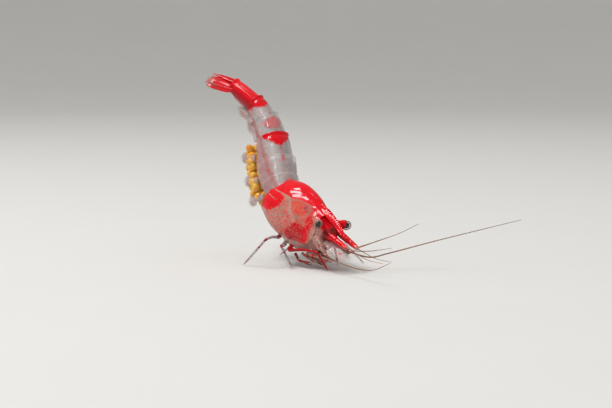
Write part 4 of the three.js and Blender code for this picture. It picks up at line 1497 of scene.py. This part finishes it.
def plate_markings(i, s, angle):
    """The layers of plate i at a share of its length and an angle in degrees from the back's midline."""
    side_line = lerp(SIDE_LINE[i], SIDE_LINE[min(i + 1, 5)], 0.5 * s)
    line = bump(-abs(angle), side_line - 2, 9) if i < 5 else 0
    below = step(side_line, side_line - 14, -abs(angle))
    off = abs(angle + 16)
    back_line = bump(off, 0, 6) * (0.55 + 0.45 * math.sin(2.3 * i + 7 * s))
    red, shade, clear, orange = 0.0, 0.0, 1.0, 0.6 * back_line
    crowd = 0.03 + 0.06 * below + 0.1 * line
    # The pale bands either side of the back are lighter shell; the stronger band on the right flank is also a painted
    # highlight.
    pale = 0.8 * bump(angle, -38, 16) + 0.5 * bump(angle, 30, 24) + 0.3 * bump(s, 0.96, 0.05)
    flush = max(0.62 * line, 0.34 * below, 0.5 * back_line)
    if i == 2:
        edge = 0.52 + max(off - 8, 0) * 0.0082
        red = clamp(0.5 + (s - edge) / 0.3) * step(60, 52, off)
    if i == 3:
        red = clamp(0.5 + (0.1 - s) / 0.2) * step(60, 50, off)
        orange_spot = ellipse_level(s, angle, (0.58, -16), (0.25, 38), 0, 0.9)
        orange, pale = max(orange, 0.85 * orange_spot), pale * (1 - orange_spot)
        crowd += 0.12 * orange_spot
    if i == 4:
        red = clamp(0.5 + (s - 0.8 + 0.3 * bump(off, 0, 50)) / 0.3)
        orange = max(orange, 0.6 * step(0.3, 0.8, s))
        crowd += 0.4 * step(0.2, 0.8, s)
        clear = 1 - 0.9 * step(0.5, 0.95, s)
        # Ring 5's red sides and underside are darkened as painted shade.
        shade = 0.7 * step(25, 85, abs(angle))
    if i == 5:
        red, crowd, clear, pale, flush = 1.0, 0.5, 0.0, 0.0, 0.0
        # Ring 6 is darker down its sides and underside, and where ring 5 laps over its front: painted shade.
        shade = 0.85 * step(28, 95, abs(angle)) + 0.15 * bump(s, 0, 0.08)
    return unmarked(
        red=red, dots=crowd, pale=min(pale, 1), orange=orange, flush=flush, shade=shade,
        violet=(0.2 * line + 0.12 * below) * (i in (3, 4)), clear=clear * (1 - 0.4 * flush),
    )


class SHRIMP_OT_abdomen(Operator):
    """Makes the six plates of the abdomen, each lapping over the next, with their side lobes"""

    bl_idname = "shrimp.abdomen"
    bl_label = "Abdomen"

    def execute(self, context):
        for i in range(6):
            self.plate(i, 0.9 * context.scene.shrimp_sizes.shell / MM)
        return {"FINISHED"}

    def plate(self, i, thickness):
        length, bend, side_turn, half_height, half_width = RINGS[i]
        _, next_bend, next_turn, next_height, next_width = RINGS[i + 1]
        profiles = {}

        def half_tan(degrees):
            return math.tan(math.radians(degrees) / 2)

        def profile(s, run_on):
            fit = lerp(0.95, 1.0 if i == 5 else 1.05, step(0.0, 1.0, s)) + (0.03 if i == 1 else 0)
            fit += 0.03 * math.sin(math.pi * s)
            part = clamp(run_on)
            wide, high = lerp(half_width, next_width, part) * fit, lerp(half_height, next_height, part) * fit
            lobe = 0.42 + 0.58 * math.sin(math.pi * (0.06 + 0.88 * s)) ** 0.55
            return plate_profile(wide, high, 0.72 * high * PLATE_REACH[i] * lobe)

        def place(s, t):
            run_on = lerp(-0.12 if i else -0.5, 1 + 0.26 / length, s)
            if s not in profiles:
                profiles[s] = profile(s, run_on)
            y, z, far = at_share(profiles[s], t)
            y = math.copysign(y, t - 0.5) if t != 0.5 else 0.0
            front = -y * half_tan(side_turn) - z * half_tan(bend)
            rear = -length + y * half_tan(next_turn) + z * half_tan(next_bend)
            x = lerp(front, rear, run_on)
            x += (0.30 if i == 1 else 0.12) * step(0.62, 1.0, far) * math.cos(math.pi * s)
            rim = 0.06 * bump(s, 1, 0.035) + 0.04 * bump(far, 1, 0.02) - 0.05 * bump(s, 0.88, 0.05)
            grow = 1 + rim / max(math.hypot(y, z), 0.5)
            return Vector((x, y * grow, z * grow))

        def layers(s, t, p):
            return plate_markings(i, s, math.degrees(math.atan2(p.y, p.z)))

        plate = sheet(f"abdomen_plate_{i + 1}", 40, 96, place, close=False, layers=layers)
        finish_plate(plate, (-length / 2, 0, 0), thickness, repeat=1)
        settle_shape(plate, RING_FRAMES[i])
        finish, slot = ("marked shell", "red_shell") if i == 5 else ("clear shell", "clear_shell")
        settle(plate, BODY, finish, slot, f"abdomen_{i + 1}")


# ---- Swimmerets ----
PADDLE_OUTLINE = (
    ((0, 0.16), (0.2, 0.3), (0.45, 0.36), (0.75, 0.27), (1, 0.05)),
    ((0, 0.16), (0.2, 0.32), (0.45, 0.4), (0.75, 0.3), (1, 0.05)),
)
LEAVES = ((13, 0.07, 1.0), (-15, -0.08, 0.88))  # lean in degrees, drop and share of the length
STEM_SWELLS = (0.3, 0.34, 0.36, 0.36, 0.34, 0.32, 0.3, 0.28, 0.27, 0.24, 0.16)


class SHRIMP_OT_swimmerets(Operator):
    """Makes the five pairs of swimmerets: a broad stem and two fringed leaves each"""

    bl_idname = "shrimp.swimmerets"
    bl_label = "Swimmerets"

    def execute(self, context):
        for i in range(5):
            by_eggs = i < 3
            under = (RINGS[i][3] + RINGS[i + 1][3]) / 2
            out, top = (1.42, -0.8 * under) if by_eggs else (0.62, -0.86 * under)
            for name, side in SIDES:
                hang = shift(-0.5 * RINGS[i][0], side * out, top) @ turn("X", side * (-4 if by_eggs else 8))
                hang = hang @ turn("Y", -64 if by_eggs else -5) @ turn("X", 90)
                self.swimmeret(f"{i + 1}_{name}", side, hang, BODY @ RING_FRAMES[i], by_eggs)
        return {"FINISHED"}

    def swimmeret(self, name, side, hang, place, by_eggs):
        hair = bpy.context.scene.shrimp_sizes.hair / MM / 2
        stem_long, leaf_long = (0.8, 1.3) if by_eggs else (0.55, 1.6)
        path = smooth_path([(0.35, 0, 0), (-0.5 * stem_long, 0, 0), (-stem_long, 0, 0)], len(STEM_SWELLS))
        stem = draw_out("stem", path, STEM_SWELLS, sides=16)
        with editing(stem):
            bpy.ops.transform.resize(value=(1, 1, 0.5), center_override=(0, 0, 0))
        leaves, fringes = [settle_shape(subdivide(stem), hang)], []
        for lean, drop, share in LEAVES:
            leaf_frame = hang @ shift(0.12 - stem_long, 0.012 * lean, -side * drop)
            leaf_frame = leaf_frame @ turn("Z", lean) @ turn("X", 1.6 * lean)
            long = leaf_long * share
            leaves.append(settle_shape(fin("leaf", PADDLE_OUTLINE, long, 0.03, ridge=0.02), leaf_frame))
            fringes.append(margin_hairs("fringe", PADDLE_OUTLINE, long, leaf_frame, 26, 0.34, hair, start=0.3))
        whole = join(f"swimmeret_leaves_{name}", leaves)
        paint(whole, **unmarked(clear=0.7, dots=0.12, pale=0.2, flush=0.15))
        settle(whole, place, "clear fin", "clear_shell", f"swimmeret_{name}")
        settle(join(f"swimmeret_fringe_{name}", fringes), place, "fringing hair", "clear_shell")


# ---- Eggs ----
EGG_RADIUS = 0.52
EGG_SPACING = 0.78
EGG_STRETCH = (1.1, 0.93, 0.93)
# side, depth and back of the eggs of a row; the last lies on the midline
EGG_SPOTS = ((0.45, 0.42, 0.0), (1.2, 0.2, 0.3), (0.85, 1.0, 0.1), (0.55, -0.12, 0.45), (0.0, 1.22, 0.35))


def egg_places():
    """The rings that carry eggs, and the place of each egg under its ring."""
    for i in range(3):
        length, _, _, half_height, _ = RINGS[i]
        rows = math.ceil(length / EGG_SPACING)
        under = (half_height + RINGS[i + 1][3]) / 2
        for row in range(rows):
            back = -(row + 0.5) * length / rows
            for side in (-1, 1):
                for out, deep, behind in EGG_SPOTS[: 5 if side > 0 else 4]:
                    if i == 0 and (row == 0 or deep > 0.9):
                        continue
                    yield RING_FRAMES[i], Vector((back - behind * EGG_SPACING, side * out, -under - deep))


class SHRIMP_OT_eggs(Operator):
    """Makes the clutch: one egg shaped once and copied, every copy turned its own way"""

    bl_idname = "shrimp.eggs"
    bl_label = "Eggs"

    def execute(self, context):
        egg = ball("egg", EGG_RADIUS, 22, 15)
        with editing(egg):
            bpy.ops.transform.resize(value=EGG_STRETCH)
        clutch = []
        for n, (ring, place) in enumerate(egg_places(), 1):
            drift = Vector((0.08 * math.sin(2.3 * n), 0.06 * math.cos(3.1 * n), 0.07 * math.sin(5 * n)))
            lean = turn("Z", 47 * n) @ turn("Y", 29 * n) @ turn("X", 61 * n)
            copy = egg.copy()
            copy.data = egg.data.copy()
            bpy.context.scene.collection.objects.link(copy)
            settle_shape(copy, ring @ shift(*(place + drift)) @ lean @ Matrix.Scale(0.9 + 0.08 * math.sin(1.9 * n), 4))
            paint(copy, each=wave(2.7 * n))
            clutch.append(copy)
        bpy.data.objects.remove(egg)
        settle(join("egg_clutch", clutch), BODY, "golden egg", "egg", "eggs")
        return {"FINISHED"}


# ---- Tail fan ----
TELSON_LENGTH = 2.9
TELSON_EDGE = ((0, 0.42), (0.1, 0.46), (0.4, 0.4), (0.75, 0.27), (0.93, 0.2), (1, 0.08))
UROPOD_LENGTH = 3.05
UROPOD_OUTLINE = (
    ((0, 0.3), (0.12, 0.44), (0.4, 0.52), (0.72, 0.5), (0.9, 0.36), (1, 0.12)),
    ((0, 0.34), (0.12, 0.5), (0.4, 0.56), (0.72, 0.53), (0.9, 0.4), (1, 0.12)),
)
UROPODS = (("inner", (0.02, 0.52, 0.4), -32, -3), ("outer", (0.02, 0.86, 0.03), -45, -2))  # foot, lean, rise
UROPOD_ROOT = (0.26, 0.28, 0.28, 0.27, 0.25, 0.23, 0.2, 0.16, 0.1)


def fan_markings(s, t, p):
    tip = step(0.5, 0.95, s)
    edge = abs(math.cos(TURN * t))
    # The blades are deep red throughout; towards the tip, more shade and some violet darken and dull them as painted
    # shade.
    return unmarked(
        red=1 - 0.85 * tip * (0.7 + 0.3 * edge), orange=0.6 * tip, dots=0.7, pale=0.25 * step(0.9, 1, s),
        violet=0.3 * tip, shade=0.3 + 0.3 * tip,
    )


class SHRIMP_OT_tail_fan(Operator):
    """Makes the tail fan: the telson with its spines, and two pairs of fringed uropods"""

    bl_idname = "shrimp.tail_fan"
    bl_label = "Tail fan"

    def execute(self, context):
        place = BODY @ (RING_FRAMES[6] @ turn("Y", 5))
        self.telson(place)
        for name, side in SIDES:
            for part, foot, lean, rise in UROPODS:
                self.uropod(f"{part}_{name}", place, side, foot, lean, rise)
        return {"FINISHED"}

    def telson(self, place):
        lift = shift(-0.02, 0, 0.72) @ turn("Y", -2)
        blade = fin("telson", (TELSON_EDGE, TELSON_EDGE), TELSON_LENGTH, 0.17, ridge=0.12, layers=fan_markings)
        settle_shape(blade, lift)
        spines, still = [], Vector((0, 0, 0))
        for side in (-1, 1):
            for k in range(4):
                s = 0.42 + 0.14 * k
                root = lift @ Vector((-TELSON_LENGTH * s, side * 0.24 * (1.15 - s * 0.5), 0.09))
                spines.append((root, (-1, side * 0.25, 0.35), 0.16, 0.02, still))
            for k in range(4):
                root = lift @ Vector((0.04 - TELSON_LENGTH, side * (0.03 + 0.045 * k), 0))
                spines.append((root, (-1, side * 0.12 * k, 0), 0.36 - 0.05 * k, 0.018, still))
        thorns = spikes("thorns", spines, sides=4)
        paint(thorns, **unmarked(red=0.35, orange=0.6, dots=0.4, pale=0.4))
        settle(join("telson_plate", [blade, thorns]), place, "marked shell", "red_shell", "telson")

    def uropod(self, name, place, side, foot, lean, rise):
        hair = bpy.context.scene.shrimp_sizes.hair / MM / 2
        x, y, z = foot[0], side * foot[1], foot[2]
        frame_in = shift(x, y, z) @ turn("Z", side * -5) @ turn("Y", rise) @ turn("X", side * lean)
        outline = UROPOD_OUTLINE if side > 0 else UROPOD_OUTLINE[::-1]
        blade = fin("blade", outline, UROPOD_LENGTH, 0.055, ridge=0.06, layers=fan_markings)
        settle_shape(blade, frame_in)
        # its stem leaves the end of the last ring
        bow = [Vector((0.35, y * 0.55, z * 0.6)), Vector((x - 0.15, y, z)), frame_in @ Vector((-0.5, 0, 0))]
        root = subdivide(draw_out("root", smooth_path(bow, len(UROPOD_ROOT)), UROPOD_ROOT))
        paint(root, **unmarked(red=1.0, dots=0.5, shade=0.25))
        whole = join(f"uropod_plate_{name}", [blade, root])
        settle(whole, place, "marked shell", "red_shell", f"uropod_{name}")
        fringe = margin_hairs(
            f"uropod_fringe_{name}", outline, UROPOD_LENGTH, frame_in, 40, reach=0.24, radius=hair, start=0.5
        )
        settle(fringe, place, "fringing hair", "red_shell")


# ---- Stage ----
# each strip lamp's two ends, as directions from the animal, and its width in metres
STRIP_LAMPS = (
    ((-0.38, -0.23, 0.90), (-0.28, -0.13, 0.95), 0.045),
    ((-0.37, -0.41, 0.83), (-0.16, -0.34, 0.93), 0.04),
    ((-0.26, -0.56, 0.79), (-0.11, -0.46, 0.88), 0.038),
    ((-0.08, -0.42, 0.90), (0.01, -0.48, 0.88), 0.045),
    ((0.16, -0.59, 0.79), (0.24, -0.52, 0.82), 0.03),
    ((0.325, -0.53, 0.78), (0.34, -0.66, 0.67), 0.022),
    ((0.28, -0.72, 0.64), (0.315, -0.70, 0.64), 0.022),
    ((-0.085, 0.07, 0.99), (-0.04, 0.09, 0.99), 0.022),
)
# each softbox's two ends, its width in metres and its share of the fill light
SOFTBOXES = {
    "softbox above": ((0, 0.3, 0.95), (0.2, 0.3, 0.95), 0.4, 1.0),
    "softbox by the camera": ((0.8, -0.5, 0.35), (0.9, -0.4, 0.35), 0.3, 0.8),
    "softbox by the tail": ((-0.65, -0.7, 0.3), (-0.55, -0.8, 0.3), 0.3, 0.35),
}
STRIP_DISTANCE, SOFTBOX_DISTANCE = 0.36, 0.5  # metres
DISH_RADIUS, DISH_RIM, DISH_STEPS = 0.32, 0.5, 12  # metres and rings
CAMERA_AZIMUTH, CAMERA_ELEVATION = 51.3, 6  # degrees
CAMERA_BACK, CAMERA_RIGHT, CAMERA_DOWN = 169.37, 1.71, 2.52  # millimetres


class SHRIMP_OT_stage(Operator):
    """Sets the pale floor with its backdrop, the softboxes and the camera"""

    bl_idname = "shrimp.stage"
    bl_label = "Floor, light and camera"

    def execute(self, context):
        settings = context.scene.shrimp_stage
        context.scene.view_settings.view_transform = "Standard"
        self.make_floor(settings)
        world = bpy.data.worlds.new("even light")
        context.scene.world = world
        world.use_nodes = True
        sky = world.node_tree.nodes["Background"]
        sky.inputs["Color"].default_value = colour((1.0, 0.99, 0.97))
        sky.inputs["Strength"].default_value = settings.sky
        self.light(settings)
        self.set_camera(context.scene, settings)
        return {"FINISHED"}

    def make_floor(self, settings):
        """A wide dish, whose rim rises out of sight as the backdrop."""
        deselect()
        bpy.ops.mesh.primitive_circle_add(vertices=96, radius=DISH_RADIUS, fill_type="NGON")
        floor = bpy.context.object
        floor.name = "floor"
        with editing(floor):
            for k in range(1, DISH_STEPS + 1):
                before, here = (math.radians(90 * n / DISH_STEPS) for n in (k - 1, k))
                spread = (DISH_RADIUS + DISH_RIM * math.sin(here)) / (DISH_RADIUS + DISH_RIM * math.sin(before))
                rise = DISH_RIM * (math.cos(before) - math.cos(here))
                bpy.ops.mesh.extrude_region_move(TRANSFORM_OT_translate={"value": (0, 0, rise)})
                bpy.ops.transform.resize(value=(spread, spread, 1), center_override=(0, 0, 0))
            bpy.ops.mesh.delete(type="ONLY_FACE")
        bpy.ops.object.shade_smooth()
        mix = Finish("pale floor")
        tone = mix.blend(mix.noise(60.0), colour(settings.floor, 0.97), colour(settings.floor))
        mix.set(Base_Color=tone, Roughness=0.9, Specular_IOR_Level=0.1)
        floor.data.materials.append(bpy.data.materials["pale floor"])

    def light(self, settings):
        target = BODY @ Vector((3, 0, -1))

        def lamp(name, place, facing, width, height, power, in_reflections):
            bpy.ops.object.light_add(type="AREA", location=place, rotation=facing.to_euler())
            made = bpy.context.object
            made.name = name
            made.data.shape = "RECTANGLE"
            made.data.size, made.data.size_y, made.data.energy = width, height, power
            made.visible_glossy = in_reflections
            return made

        def lamp_towards(name, start, end, distance, *measures):
            """A lamp that faces the animal from midway between two directions, its width along them."""
            away = (Vector(start) + Vector(end)).normalized()
            across = away.cross(Vector(end) - Vector(start)).normalized()
            facing = Matrix((across.cross(away), across, away)).transposed()
            lamp(name, target + away * distance, facing, *measures)

        strips = [(start, end, (Vector(end) - Vector(start)).length, wide) for start, end, wide in STRIP_LAMPS]
        total = sum(long * wide for _, _, long, wide in strips)
        for start, end, long, wide in strips:
            power = settings.key * long * wide / total
            lamp_towards("strip lamp", start, end, STRIP_DISTANCE, STRIP_DISTANCE * long, wide, power, True)
        for name, (start, end, wide, share) in SOFTBOXES.items():
            lamp_towards(name, start, end, SOFTBOX_DISTANCE, wide, wide, share * settings.fill, False)
        # one more faces away from the animal, to light the backdrop
        facing = Vector((0.78, -0.62, -0.15)).to_track_quat("Z", "Y")
        place = target + Vector((-0.3, 0.24, 0.6))
        lamp("softbox on the backdrop", place, facing, 0.4, 0.4, 2.2 * settings.fill, False).visible_camera = False

    def set_camera(self, scene, settings):
        azimuth, elevation = math.radians(CAMERA_AZIMUTH), math.radians(CAMERA_ELEVATION)
        level = math.cos(elevation)
        back = Vector((math.sin(azimuth) * level, -math.cos(azimuth) * level, math.sin(elevation)))
        right = Vector((math.cos(azimuth), math.sin(azimuth), 0))
        off = back * CAMERA_BACK + right * CAMERA_RIGHT - back.cross(right) * CAMERA_DOWN
        bpy.ops.object.camera_add(location=REAR_EDGE * MM + off * MM)
        camera = bpy.context.object
        camera.rotation_mode = "QUATERNION"
        camera.rotation_quaternion = (-back).to_track_quat("-Z", "Y")
        camera.data.lens = settings.lens
        camera.data.clip_start, camera.data.clip_end = 0.005, 10
        scene.camera = camera


# ---- Panel and running ----
SETTINGS = (("shrimp_colours", ShrimpColours), ("shrimp_sizes", ShrimpSizes), ("shrimp_stage", StageSettings))
OPERATORS = (
    SHRIMP_OT_finishes,
    SHRIMP_OT_carapace,
    SHRIMP_OT_rostrum,
    SHRIMP_OT_eyes,
    SHRIMP_OT_soft_body,
    SHRIMP_OT_mouth,
    SHRIMP_OT_antennules,
    SHRIMP_OT_antennae,
    SHRIMP_OT_front_limbs,
    SHRIMP_OT_walking_legs,
    SHRIMP_OT_abdomen,
    SHRIMP_OT_swimmerets,
    SHRIMP_OT_eggs,
    SHRIMP_OT_tail_fan,
    SHRIMP_OT_stage,
)


class SHRIMP_PT_panel(Panel):
    """Lists the animal's pieces in the order that they are made"""

    bl_label = "Cherry Shrimp"
    bl_idname = "SHRIMP_PT_panel"
    bl_space_type = "VIEW_3D"
    bl_region_type = "UI"
    bl_category = "Shrimp"

    def draw(self, context):
        for operator in OPERATORS:
            self.layout.operator(operator.bl_idname)


def register():
    for _, group in SETTINGS:
        bpy.utils.register_class(group)
    for name, group in SETTINGS:
        setattr(bpy.types.Scene, name, PointerProperty(type=group))
    for operator in OPERATORS:
        bpy.utils.register_class(operator)
    bpy.utils.register_class(SHRIMP_PT_panel)


def unregister():
    bpy.utils.unregister_class(SHRIMP_PT_panel)
    for operator in reversed(OPERATORS):
        bpy.utils.unregister_class(operator)
    for name, group in reversed(SETTINGS):
        delattr(bpy.types.Scene, name)
        bpy.utils.unregister_class(group)


def main():
    register()
    for operator in OPERATORS:
        category, action = operator.bl_idname.split(".")
        getattr(getattr(bpy.ops, category), action)()
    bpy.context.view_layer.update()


if __name__ == "__main__":
    main()
